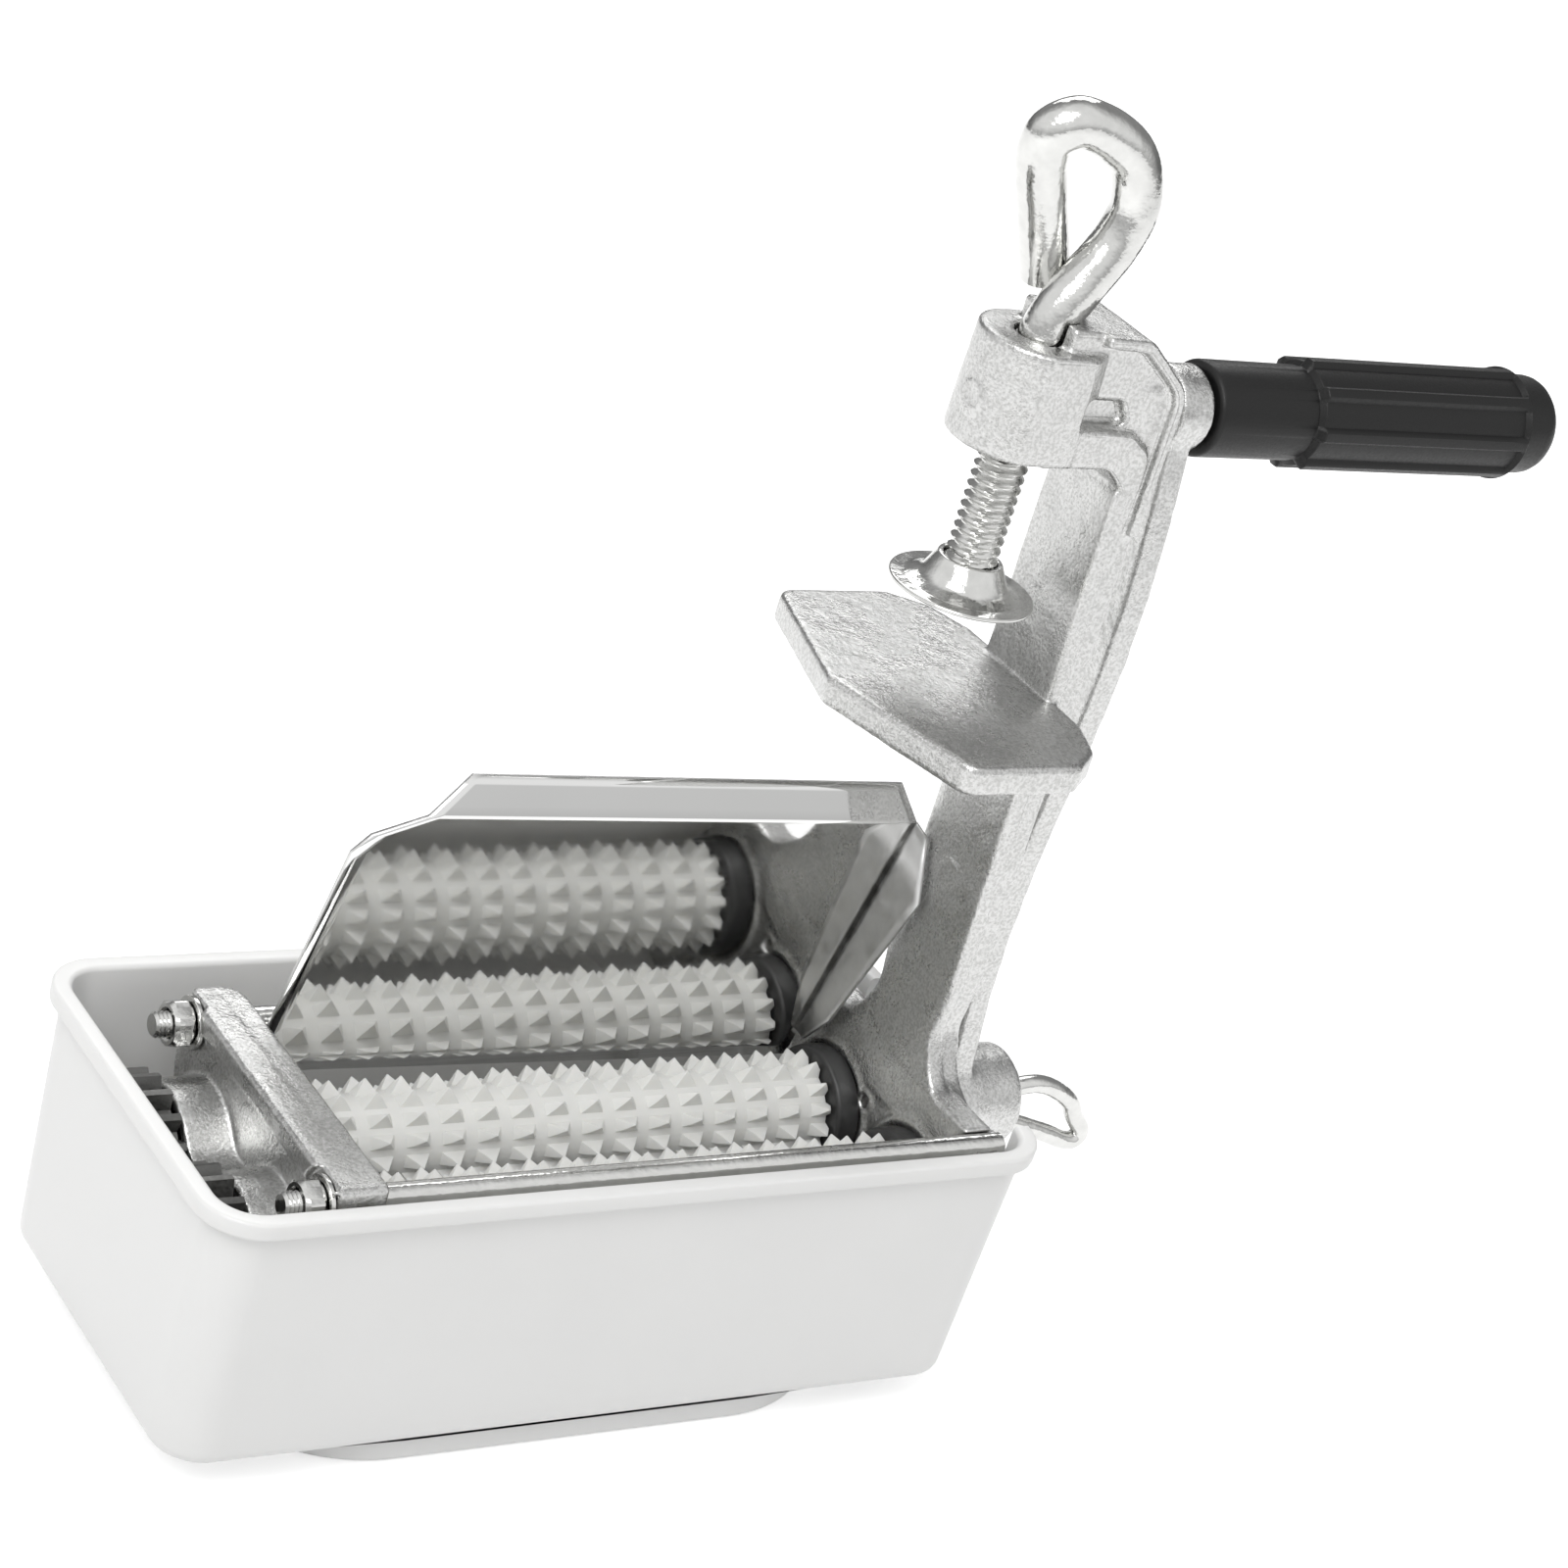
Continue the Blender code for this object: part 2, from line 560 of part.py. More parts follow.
def make_main_frame():
    face = PLATE_FACE
    lower = face + PLATE_THICK
    plate = solid_plate("main_frame", mirrored([
        (PLATE_HALF_WIDTH, PLATE_TOP, 1.5), (PLATE_HALF_WIDTH, AXIS_Z + 10, 6),
        (STAND_OUT + 2, FLOOR_Z + 20, 6), (STAND_OUT, FLOOR_Z + GAP, 1.5),
        (STAND_IN, FLOOR_Z + GAP, 1.5), (STAND_IN - 3, FLOOR_Z + 17, 6),
    ], CRUSHER_Y), face, lower, "X", "cast_metal")
    root = LEG_HALF_WIDTH + FLARE
    leg = solid_plate("leg", mirrored([
        (LEG_HALF_WIDTH, ARM_TOP - 6, 0), (LEG_HALF_WIDTH, PLATE_TOP + 22, 12),
        (LEG_HALF_WIDTH - 1.6, PLATE_TOP + 13, 6), (LEG_HALF_WIDTH + 1, PLATE_TOP, 12),
        (root, PLATE_TOP - 4, 0), (root, PLATE_TOP - 12, 0),
    ], LEG_Y), face, face + LEG_THICK, "X", "cast_metal")
    skin = LEG_HALF_WIDTH - LEG_RIB
    recess = solid_plate("recess", mirrored([
        (skin, ARM_BOTTOM - 8, 3), (skin, PLATE_TOP + 6, 3),
    ], LEG_Y), face + LEG_WEB, face + LEG_THICK + 5, "X", "cast_metal")
    cut(leg, recess)
    front = face - JAW_LENGTH
    jaw = solid_plate("jaw", mirrored_x([
        (front, 0, 0), (front + 12, JAW_HALF_WIDTH, 3.5), (face - 10, JAW_HALF_WIDTH, 3),
        (face - 1.5, JAW_HALF_WIDTH - 7, 2.5), (face + 3, JAW_HALF_WIDTH - 19, 1), (face + 3, 0, 0),
    ]), JAW_TOP - JAW_THICK, JAW_TOP, "Z", "cast_metal")
    bevel_edges(jaw, 1.0)
    arm = solid_plate("arm", rounded([
        (CLAMP_X, ARM_BOTTOM, 0), (face + 2, ARM_BOTTOM, 0), (face + LEG_THICK, ARM_BOTTOM - 12, 0),
        (face + LEG_THICK, ARM_TOP, 13), (CLAMP_X + 14, ARM_TOP, 3), (CLAMP_X + 11, HEAD_TOP - 3, 0),
        (CLAMP_X, HEAD_TOP - 3, 0),
    ]), LEG_Y - ARM_HALF_WIDTH, LEG_Y + ARM_HALF_WIDTH, "Y", "cast_metal")
    pockets = [solid_plate("pocket", rounded([
        (CLAMP_X + 6, ARM_BOTTOM + 9, 0), (face - 1, ARM_BOTTOM + 9, 1.5),
        (face - 4.5, ARM_BOTTOM + 15.5, 1.2), (CLAMP_X + 6, ARM_BOTTOM + 15.5, 0),
    ], 45), low, high, "Y", "cast_metal") for low, high in (
        (LEG_Y - ARM_HALF_WIDTH - 5, LEG_Y - ARM_HALF_WIDTH + POCKET_DEPTH),
        (LEG_Y + ARM_HALF_WIDTH - POCKET_DEPTH, LEG_Y + ARM_HALF_WIDTH + 5),
    )]
    cut(arm, *pockets)
    head = turned("head", [
        (ARM_BOTTOM + 0.6, 0), (ARM_BOTTOM + 0.6, HEAD_RADIUS - 1),
        (ARM_BOTTOM + 2.2, HEAD_RADIUS + HEAD_DRAFT),
        (HEAD_TOP - 0.6, HEAD_RADIUS), (HEAD_TOP, HEAD_RADIUS - 0.6), (HEAD_TOP, 0),
    ], "Z", (CLAMP_X, LEG_Y), "cast_metal", 32)
    bosses = [turned("boss", [
        (lower - 4, 0), (lower - 4, BOSS_RADIUS), (lower + reach - 1, BOSS_RADIUS),
        (lower + reach, BOSS_RADIUS - 1), (lower + reach, 0),
    ], "X", (y, AXIS_Z), "cast_metal") for y, reach in ((DRIVE_Y, BOSS_REACH), (IDLER_Y, IDLER_REACH))]
    rods = [(CRUSHER_Y + side * ROD_Y, ROD_Z) for side in (-1, 1)]
    lugs = [cylinder("lug", lower - 4, lower + LUG_REACH, LUG_RADIUS, "X", (y + side * 3, z - 5))
            for side, (y, z) in zip((1, -1), rods)]
    join(plate, leg, jaw, arm, head, *bosses, *lugs)
    seat, way, outside = BUSH_RADIUS + GAP, SHAFT_RADIUS + RUNNING + 0.5, lower + BOSS_REACH + 9
    drive_end = bush_seat_end(DRIVE_Y)
    idler_seat = cylinder("seat", face - 5, bush_seat_end(IDLER_Y), seat, "X", (IDLER_Y, AXIS_Z))
    cutters = [idler_seat, turned("seat_and_way", [
        (face - 5, 0), (face - 5, seat), (drive_end, seat), (drive_end, way), (outside, way), (outside, 0),
    ], "X", (DRIVE_Y, AXIS_Z), "cast_metal")]
    cutters += [cylinder("rod_hole", face - 5, lower + 2, TIE_RADIUS + GAP, "X", rod, sides=12) for rod in rods]
    thread = SCREW_RADIUS + RUNNING
    cutters.append(cylinder("thread", ARM_BOTTOM - 5, HEAD_TOP + 5, thread, "Z", (CLAMP_X, LEG_Y)))
    pin = (LEG_Y + 1.6, AXIS_Z + 10.5)
    cutters.append(cylinder("pin_hole", face - 5, face + 3, PIN_RADIUS, "X", pin, sides=12))
    cut(plate, *cutters)


def mirrored_x(half):
    """An outline in X and Y from the corners on its +Y side, (x, offset from the leg's plane, radius)."""
    far = [(x, LEG_Y + offset, radius) for x, offset, radius in half]
    near = [(x, LEG_Y - offset, radius) for x, offset, radius in reversed(half) if offset]
    return rounded(far + near)


def bevel_edges(obj, width):
    """A flat chamfer round the top and bottom outlines."""
    bevel = obj.modifiers.new("bevel", "BEVEL")
    bevel.width = width * 0.001
    bevel.segments = 1
    bevel.limit_method = "ANGLE"
    bevel.angle_limit = radians(60)
    return apply_modifiers(obj)


def figure_eight(radius, fillet):
    """Two circles on the roller axes, joined by fillets in the two valleys between them."""
    half = ROLLER_SPACING / 2
    reach = sqrt((radius + fillet) ** 2 - half ** 2)
    lean = atan2(reach, half)
    outline = []

    def arc(y, z, size, start, stop, facets):
        for k in range(facets):
            angle = start + (stop - start) * k / facets
            outline.append((y + size * cos(angle), z + size * sin(angle)))

    arc(DRIVE_Y, AXIS_Z, radius, lean - pi, pi - lean, 20)
    arc(CRUSHER_Y, AXIS_Z + reach, fillet, -lean, lean - pi, 4)
    arc(IDLER_Y, AXIS_Z, radius, lean, 2 * pi - lean, 20)
    arc(CRUSHER_Y, AXIS_Z - reach, fillet, pi - lean, lean, 4)
    return outline


def make_left_plate():
    web_right = WEB_LEFT + WEB_THICK
    foot_z = TUB_WALL + GAP
    near, far = CRUSHER_Y - BAR_HALF_LENGTH, CRUSHER_Y + BAR_HALF_LENGTH
    web = solid_plate("left_end_plate", mirrored([
        (BAR_HALF_LENGTH, BAR_TOP, 7), (BAR_HALF_LENGTH, BAR_TOP - 15, 7),
        (BAR_HALF_LENGTH - 6, AXIS_Z - 8, 12), (BAR_HALF_LENGTH - 14, AXIS_Z - 24, 10),
        (STAND_HALF + 0.5, AXIS_Z - 28, 4), (STAND_HALF, foot_z, 1.5),
    ], CRUSHER_Y), WEB_LEFT, web_right, "X", "cast_metal")
    bar = solid_plate("bar", rounded([
        (near, BAR_TOP - BAR_DEPTH, 0), (far, BAR_TOP - BAR_DEPTH, 0), (far, BAR_TOP, 4), (near, BAR_TOP, 1),
    ]), BAR_LEFT, BAR_LEFT + BAR_WIDTH, "X", "cast_metal")
    housing = solid_plate("housing", figure_eight(HOUSING_RADIUS, HOUSING_FILLET),
                          HOUSING_LEFT, WEB_LEFT + 2, "X", "cast_metal")
    hollow = solid_plate("hollow", figure_eight(HOUSING_RADIUS - HOUSING_WALL, HOUSING_FILLET + HOUSING_WALL),
                         HOUSING_LEFT - 5, WEB_LEFT - 0.5, "X", "cast_metal")
    cut(housing, hollow)
    join(web, bar, housing)
    rods = [(CRUSHER_Y + side * ROD_Y, ROD_Z) for side in (-1, 1)]
    seat, hole, spot = BUSH_RADIUS + GAP, TIE_RADIUS + GAP, WASHER_RADIUS + 0.9
    axles = [(DRIVE_Y, AXIS_Z), (IDLER_Y, AXIS_Z)]
    bar_right = BAR_LEFT + BAR_WIDTH
    cutters = [cylinder("seat", WEB_LEFT - 8, web_right + 5, seat, "X", axle) for axle in axles]
    cutters += [cylinder("rod_hole", BAR_LEFT - 5, bar_right + 5, hole, "X", rod, sides=12) for rod in rods]
    spots = [cylinder("spot", BAR_LEFT - 5, WEB_LEFT, spot, "X", rod) for rod in rods]
    cut(web, *spots, *cutters)


def make_tie_rods():
    for name, side in (("front", -1), ("rear", 1)):
        place = (CRUSHER_Y + side * ROD_Y, ROD_Z)
        end = PLATE_FACE + PLATE_THICK + 1.5
        cylinder("tie_rod_" + name, ROD_END_LEFT, end, TIE_RADIUS, "X", place, "plated_steel", 12)
        hole = TIE_RADIUS + GAP
        seat = WEB_LEFT - GAP
        washer = seat - WASHER_THICK
        tube("tie_washer_" + name, washer, seat, WASHER_RADIUS, hole, "X", place, "plated_steel", 16)
        nut = washer - GAP - NUT_THICK
        hexagon = NUT_ACROSS / sqrt(3)
        body = cylinder("tie_nut_" + name, nut, nut + NUT_THICK, hexagon, "X", place, "plated_steel", 6)
        cut(body, cylinder("thread", nut - 5, nut + NUT_THICK + 5, hole, "X", place, sides=12))


# ---------------------------------------------------------------- the guard

def guard_point(x, z, forward=0.0):
    """A point of the panel's middle, named by where it would be with no tilt, moved forward square to it."""
    middle = (GUARD_LEFT + GUARD_RIGHT) / 2, (GUARD_BOTTOM + GUARD_FOLD) / 2
    along, rise = x - middle[0], (z - middle[1]) / cos(GUARD_LEAN)
    turned_rise = rise * cos(GUARD_TILT) - along * sin(GUARD_TILT)
    height = middle[1] + turned_rise * cos(GUARD_LEAN)
    return (middle[0] + along * cos(GUARD_TILT) + rise * sin(GUARD_TILT),
            guard_y(height) - forward * cos(GUARD_LEAN), height - forward * sin(GUARD_LEAN))


def make_guard():
    """A main panel, a top flange bent back, and a wing that lies along the leg."""
    flange_rise = GUARD_FOLD + FLANGE_HEIGHT * cos(GUARD_LEAN) * cos(FLANGE_BEND)
    forward = -FLANGE_HEIGHT * sin(FLANGE_BEND)
    left, right = GUARD_LEFT + FLANGE_INSET, GUARD_RIGHT - FLANGE_RIGHT_RAKE
    start, low, high = GUARD_BOTTOM + 8.0, GUARD_BOTTOM + 18.0, GUARD_FOLD - 13.5
    points = [
        guard_point(GUARD_LEFT, GUARD_BOTTOM), guard_point(GUARD_RIGHT, GUARD_BOTTOM),
        guard_point(GUARD_RIGHT, GUARD_FOLD), guard_point(left, GUARD_FOLD),
        guard_point(GUARD_LEFT, GUARD_FOLD - CORNER_DROP),
        guard_point(left + FLANGE_RAKE, flange_rise, forward), guard_point(right, flange_rise, forward),
        guard_point(GUARD_RIGHT, start), guard_point(GUARD_RIGHT, start, 3.5), guard_point(GUARD_RIGHT, low, 8),
        guard_point(GUARD_RIGHT, high, 14), guard_point(GUARD_RIGHT, GUARD_FOLD, 6),
    ]
    faces = [(0, 1, 7, 2, 3, 4), (3, 2, 6, 5), (7, 8, 9, 10, 11, 2)]
    mesh = bpy.data.meshes.new("guard_sheet")
    mesh.from_pydata([metres(p) for p in points], [], faces)
    guard = add_object("guard_sheet", mesh, "mirror_sheet")
    solidify = guard.modifiers.new("sheet", "SOLIDIFY")
    solidify.thickness = SHEET * 0.001
    solidify.offset = 0
    solidify.use_even_offset = True
    apply_modifiers(guard)


def make_guard_clips():
    """Hooks on the guard's back that drop over the rear tie rod."""
    rod_y, rod_z = CRUSHER_Y + ROD_Y, ROD_Z
    reach = TIE_RADIUS + GAP
    half = SHEET / 2 / cos(GUARD_LEAN) + GAP
    top, low = rod_z + reach + 2.0, rod_z - reach - 1.0
    hook = [
        (guard_y(low) + half, low), (rod_y - reach, low), (rod_y - reach, rod_z + reach * 0.5),
        (rod_y - reach * 0.5, rod_z + reach), (rod_y + reach * 0.5, rod_z + reach),
        (rod_y + reach, rod_z + reach * 0.5), (rod_y + reach, low), (rod_y + reach + HOOK_SHEET, low),
        (rod_y + reach + HOOK_SHEET, top - 1.5), (rod_y + reach, top), (guard_y(top) + half, top),
    ]
    for name, x in (("guard_clip_left", GUARD_LEFT + 22), ("guard_clip_right", GUARD_RIGHT - 32)):
        solid_plate(name, hook, x, x + HOOK_LENGTH, "X", "plated_steel")


# ---------------------------------------------------------------- the clamp

def eye_path():
    """The bent rod: up out of the head, out to the right, over the top and down behind itself."""
    return [(CLAMP_X + x, LEG_Y + y, HEAD_TOP + z) for x, y, z in EYE_PATH]


def make_clamp():
    place = (CLAMP_X, LEG_Y)
    screw = cylinder("clamp_screw", PAD_RIM + 1.0, HEAD_TOP - 0.5, SCREW_RADIUS, "Z", place, "plated_steel", 16)
    join(screw, rod("eye", eye_path(), ROD_RADIUS, "plated_steel"))
    bore = SCREW_RADIUS + RUNNING
    turned("clamp_pad", [
        (PAD_RIM - PAD_THICK, 0), (PAD_RIM - PAD_THICK, PAD_CONE_RADIUS), (PAD_RIM - 0.8, PAD_RADIUS),
        (PAD_RIM, PAD_RADIUS), (PAD_RIM, PAD_CONE_RADIUS), (PAD_HUB_TOP, PAD_HUB_RADIUS),
        (PAD_HUB_TOP, bore), (PAD_RIM + 0.4, bore), (PAD_RIM + 0.4, 0),
    ], "Z", place, "plated_steel")


# ---------------------------------------------------------------- the crank

def crank_bow(share):
    """How far the arm's centre line stands off the straight line from hub to grip."""
    return ARM_BOW * sin(2 * pi * share) * (1 - 0.25 * share)


def make_crank():
    top = AXIS_Z + CRANK_THROW
    stations = [k / 12 for k in range(13)]
    width = [ARM_WIDTH * (1.05 - 0.25 * s) / 2 for s in stations]
    right = [(DRIVE_Y + crank_bow(s) + w, AXIS_Z + CRANK_THROW * s) for s, w in zip(stations, width)]
    left = [(DRIVE_Y + crank_bow(s) - w, AXIS_Z + CRANK_THROW * s) for s, w in zip(stations, width)]
    arm = solid_plate("crank_arm", right + left[::-1], ARM_FACE, ARM_FACE + ARM_THICK, "X", "cast_metal")
    hub = turned("hub", [
        (ARM_FACE - 1.5, 0), (ARM_FACE - 1.5, HUB_RADIUS), (HUB_END - 1.5, HUB_RADIUS - 0.8),
        (HUB_END, HUB_RADIUS - 2.3), (HUB_END, 0),
    ], "X", (DRIVE_Y, AXIS_Z), "cast_metal")
    boss = cylinder("boss", ARM_FACE - 0.5, ARM_FACE + ARM_THICK + 2, EYE_BOSS_RADIUS, "X", (DRIVE_Y, top))
    join(arm, hub, boss)
    outer = ARM_FACE + ARM_THICK
    bore = cylinder("bore", ARM_FACE - 5, HUB_END + 5, SHAFT_RADIUS + GAP, "X", (DRIVE_Y, AXIS_Z), sides=16)
    hole = cylinder("hole", ARM_FACE - 5, outer + 5, SPINDLE_RADIUS + GAP, "X", (DRIVE_Y, top), sides=16)
    cut(arm, bore, hole)


def make_grip():
    """The spindle riveted in the crank's eye, and the grip that turns on it."""
    top = AXIS_Z + CRANK_THROW
    head = GRIP_END - 22.0
    turned("handle_spindle", [
        (ARM_FACE - 3.0, 0), (ARM_FACE - 3.0, 6.5), (ARM_FACE - 0.8, 7.0), (ARM_FACE - 0.8, SPINDLE_RADIUS),
        (head, SPINDLE_RADIUS), (head, SPINDLE_HEAD), (head + 5, SPINDLE_HEAD), (head + 5, 0),
    ], "X", (DRIVE_Y, top), "plated_steel", 16)
    bore, room = SPINDLE_RADIUS + RUNNING, SPINDLE_HEAD + 0.7
    neck = GRIP_START + NECK_LENGTH
    turned("grip", [
        (head + 6, 0), (head + 6, room), (head - GAP, room), (head - GAP, bore), (GRIP_START + 3, bore),
        (GRIP_START + 3, bore + 3.5), (GRIP_START, bore + 3.5), (GRIP_START, GRIP_NECK - 1),
        (GRIP_START + 1, GRIP_NECK), (neck - 3, GRIP_NECK), (neck, GRIP_BODY),
        (GRIP_END - CAP_LENGTH - 1, GRIP_BODY),
        (GRIP_END - CAP_LENGTH, GRIP_CAP), (GRIP_END - 3, GRIP_CAP), (GRIP_END - 0.8, GRIP_CAP - 2),
        (GRIP_END, GRIP_CAP - 5), (GRIP_END, 0),
    ], "X", (DRIVE_Y, top), "black_plastic")


def make_thumb_screw():
    """A threaded stem whose wire is bent into a long eye, and the washer under it."""
    place = (DRIVE_Y, AXIS_Z)
    end = HUB_END + GAP
    tube("thumb_washer", end, end + 1.2, 7.5, THUMB_RADIUS + GAP, "X", place, "plated_steel", 16)
    stem = SHAFT_END_RIGHT - THUMB_DEPTH + 1.0
    tip = HUB_END + THUMB_LENGTH - THUMB_RADIUS
    path = [(stem, 0), (end + 3, 0), (end + 8, 1.6), (end + 15, 1.2), (end + 21, -1.4), (tip - 4.5, -9),
            (tip - 0.6, -13.4), (tip - 0.6, -15.8), (tip - 2.6, -17), (tip - 5, -16.6), (end + 14, -11.4),
            (end + 6, -8.8)]
    rod("thumb_screw", [(x, DRIVE_Y, AXIS_Z + z) for x, z in path], THUMB_RADIUS, "plated_steel", 8)


def main():
    for obj in list(bpy.data.objects):
        bpy.data.objects.remove(obj)
    for name, (colour, roughness, metallic) in MATERIALS.items():
        material = bpy.data.materials.new(name)
        material.use_nodes = True
        shader = material.node_tree.nodes["Principled BSDF"]
        shader.inputs["Base Color"].default_value = colour
        shader.inputs["Roughness"].default_value = roughness
        shader.inputs["Metallic"].default_value = metallic
    make_tub()
    make_main_frame()
    make_left_plate()
    make_tie_rods()
    make_bushes()
    make_shafts()
    for side, y, phase in (("drive", DRIVE_Y, 0.0), ("idler", IDLER_Y, 0.5)):
        make_roller(side + "_roller", y)
        make_gear(side + "_gear", y, phase)
        make_clip(side + "_gear_clip", y)
    make_guard()
    make_guard_clips()
    make_clamp()
    make_crank()
    make_grip()
    make_thumb_screw()


main()
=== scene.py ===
"""A hand-cranked two-roller fruit crusher with its table clamp, standing in a white catch tub.

Shapes are worked out in millimetres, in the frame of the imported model: +X runs along the rollers to
the crank, +Y to the guard and +Z up. Places are read from the model's nodes wherever it has them.
"""

from math import atan2, cos, hypot, pi, radians, sin, sqrt, tan

import bmesh
import bpy
import numpy as np
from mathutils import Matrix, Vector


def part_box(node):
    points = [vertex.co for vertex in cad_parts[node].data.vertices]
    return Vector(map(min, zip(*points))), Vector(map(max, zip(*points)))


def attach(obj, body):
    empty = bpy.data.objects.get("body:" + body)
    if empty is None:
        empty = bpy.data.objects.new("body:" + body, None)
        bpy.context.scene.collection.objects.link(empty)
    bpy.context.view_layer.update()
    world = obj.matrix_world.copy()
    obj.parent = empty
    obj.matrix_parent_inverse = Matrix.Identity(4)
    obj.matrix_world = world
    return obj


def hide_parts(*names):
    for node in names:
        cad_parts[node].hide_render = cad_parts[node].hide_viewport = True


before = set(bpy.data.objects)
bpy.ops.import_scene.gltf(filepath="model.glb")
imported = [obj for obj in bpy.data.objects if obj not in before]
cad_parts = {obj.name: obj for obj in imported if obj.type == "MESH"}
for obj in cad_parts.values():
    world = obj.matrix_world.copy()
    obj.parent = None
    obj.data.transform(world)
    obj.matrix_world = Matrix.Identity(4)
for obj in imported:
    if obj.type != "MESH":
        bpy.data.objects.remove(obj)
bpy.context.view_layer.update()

import openvdb
from mathutils import Matrix, Vector

MM = 0.001
FINE = 1.0


# ---------------------------------------------------------------- places, from the model's nodes

def span(node):
    """A node's lowest and highest corners in millimetres."""
    low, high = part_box(node)
    return np.array(low) / MM, np.array(high) / MM


def middle(node):
    low, high = span(node)
    return (low + high) / 2


TUB_LOW, TUB_HIGH = span("tub")
DRIVE_Y, AXIS_Z = middle("drive_shaft")[1:]
IDLER_Y = middle("idler_shaft")[1]
CRUSHER_Y = (DRIVE_Y + IDLER_Y) / 2
ROLLER_LOW, ROLLER_HIGH = span("drive_roller")
FRAME_LOW, FRAME_HIGH = span("main_frame")
PLATE_FACE = span("drive_bush_right")[1][0] - 19.7
CLAMP_X, LEG_Y = middle("clamp_pad")[:2]
PAD_LOW, PAD_HIGH = span("clamp_pad")
JAW_TOP = PAD_LOW[2] - 21.4
ARM_BOTTOM = JAW_TOP + 57.6
ARM_TOP = FRAME_HIGH[2]
HEAD_TOP = ARM_BOTTOM + 26.1
BAR_LEFT = span("tie_rod_front")[0][0] + 8.5
ROD_Z = middle("tie_rod_front")[2]
ROD_YS = middle("tie_rod_front")[1], middle("tie_rod_rear")[1]
HUB_FACE = span("thumb_washer")[0][0] - 0.3
ARM_FACE = HUB_FACE - 23.0
GRIP_LOW, GRIP_HIGH = span("grip")
GRIP_Z = middle("grip")[2]


# ---------------------------------------------------------------- surfaces on grids

def place(axis, along, u, v):
    """Stacks coordinates into points: `along` on one axis, u and v on the next two in the order X, Y, Z."""
    order = {"X": (along, u, v), "Y": (u, along, v), "Z": (u, v, along)}[axis]
    return np.stack(np.broadcast_arrays(*order), -1).astype(float)


def grid_faces(rows, columns, wrap_rows=False, wrap_columns=True):
    """Quads between neighbouring points of a grid, closed round in either direction where asked."""
    i = np.arange(rows if wrap_rows else rows - 1)
    j = np.arange(columns if wrap_columns else columns - 1)
    i, j = np.meshgrid(i, j, indexing="ij")
    down, across = (i + 1) % rows, (j + 1) % columns
    quads = np.stack([i * columns + j, down * columns + j, down * columns + across, i * columns + across], -1)
    return quads.reshape(-1, 4)


def fill_mesh(mesh, points, faces):
    mesh.from_pydata((np.asarray(points, float).reshape(-1, 3) * MM).tolist(), [], faces)


def build(name, parts, sharp=38):
    """One piece from (points, faces) parts: doubles are merged and every face is turned outward."""
    mesh = bpy.data.meshes.new(name)
    points, faces, start = [], [], 0
    for part_points, part_faces in parts:
        part_points = np.asarray(part_points, float).reshape(-1, 3)
        points.append(part_points)
        faces += [tuple(int(k) + start for k in face) for face in part_faces]
        start += len(part_points)
    fill_mesh(mesh, np.concatenate(points), faces)
    work = bmesh.new()
    work.from_mesh(mesh)
    bmesh.ops.remove_doubles(work, verts=work.verts, dist=2e-6)
    bmesh.ops.dissolve_degenerate(work, edges=work.edges, dist=1e-6)
    bmesh.ops.recalc_face_normals(work, faces=work.faces)
    work.to_mesh(mesh)
    work.free()
    return finish_piece(name, mesh, sharp)


def finish_piece(name, mesh, sharp=None):
    obj = bpy.data.objects.new(name, mesh)
    bpy.context.scene.collection.objects.link(obj)
    mesh.shade_smooth()
    if sharp:
        mesh.set_sharp_from_angle(angle=radians(sharp))
    return obj


def arc_corners(corners, step=15.0):
    """An outline in which each corner (u, v, radius) is an arc, one point each `step` degrees."""
    outline = []
    count = len(corners)
    for k, (u, v, radius) in enumerate(corners):
        here = np.array((u, v), float)
        if not radius:
            outline.append(here)
            continue
        before = np.array(corners[k - 1][:2]) - here
        after = np.array(corners[(k + 1) % count][:2]) - here
        before, after = before / hypot(*before), after / hypot(*after)
        half = np.arccos(np.clip(before @ after, -1, 1)) / 2
        centre = here + (before + after) / hypot(*(before + after)) * radius / sin(half)
        start = here + before * radius / tan(half) - centre
        turn = (pi - 2 * half) * np.sign(before[1] * after[0] - before[0] * after[1])
        facets = max(2, int(np.ceil(abs(turn) / radians(step))))
        angle = turn * np.arange(facets + 1) / facets
        outline += list(centre + np.stack([start[0] * np.cos(angle) - start[1] * np.sin(angle),
                                           start[0] * np.sin(angle) + start[1] * np.cos(angle)], -1))
    return np.array(outline)


def lathe(name, profile, axis, centre, count=72, ring=False, sharp=38, flute=None):
    """A rounded profile of (along, radius, corner) turned round an axis.

    flute(along, angle) is added to the radius where it is given.
    """
    count = int(count / (1))
    if ring:
        outline = arc_corners(profile)
    else:
        outline = arc_corners(list(profile) + [(profile[-1][0], -1, 0), (profile[0][0], -1, 0)])[:-2]
    along, radius = outline[:, :1], np.maximum(outline[:, 1:], 0)
    angle = np.arange(count) * 2 * pi / count
    if flute:
        radius = radius + flute(along, angle) * (radius > 0)
    points = place(axis, along, centre[0] + radius * np.cos(angle), centre[1] + radius * np.sin(angle))
    return build(name, [(points, grid_faces(len(outline), count, wrap_rows=ring))], sharp)


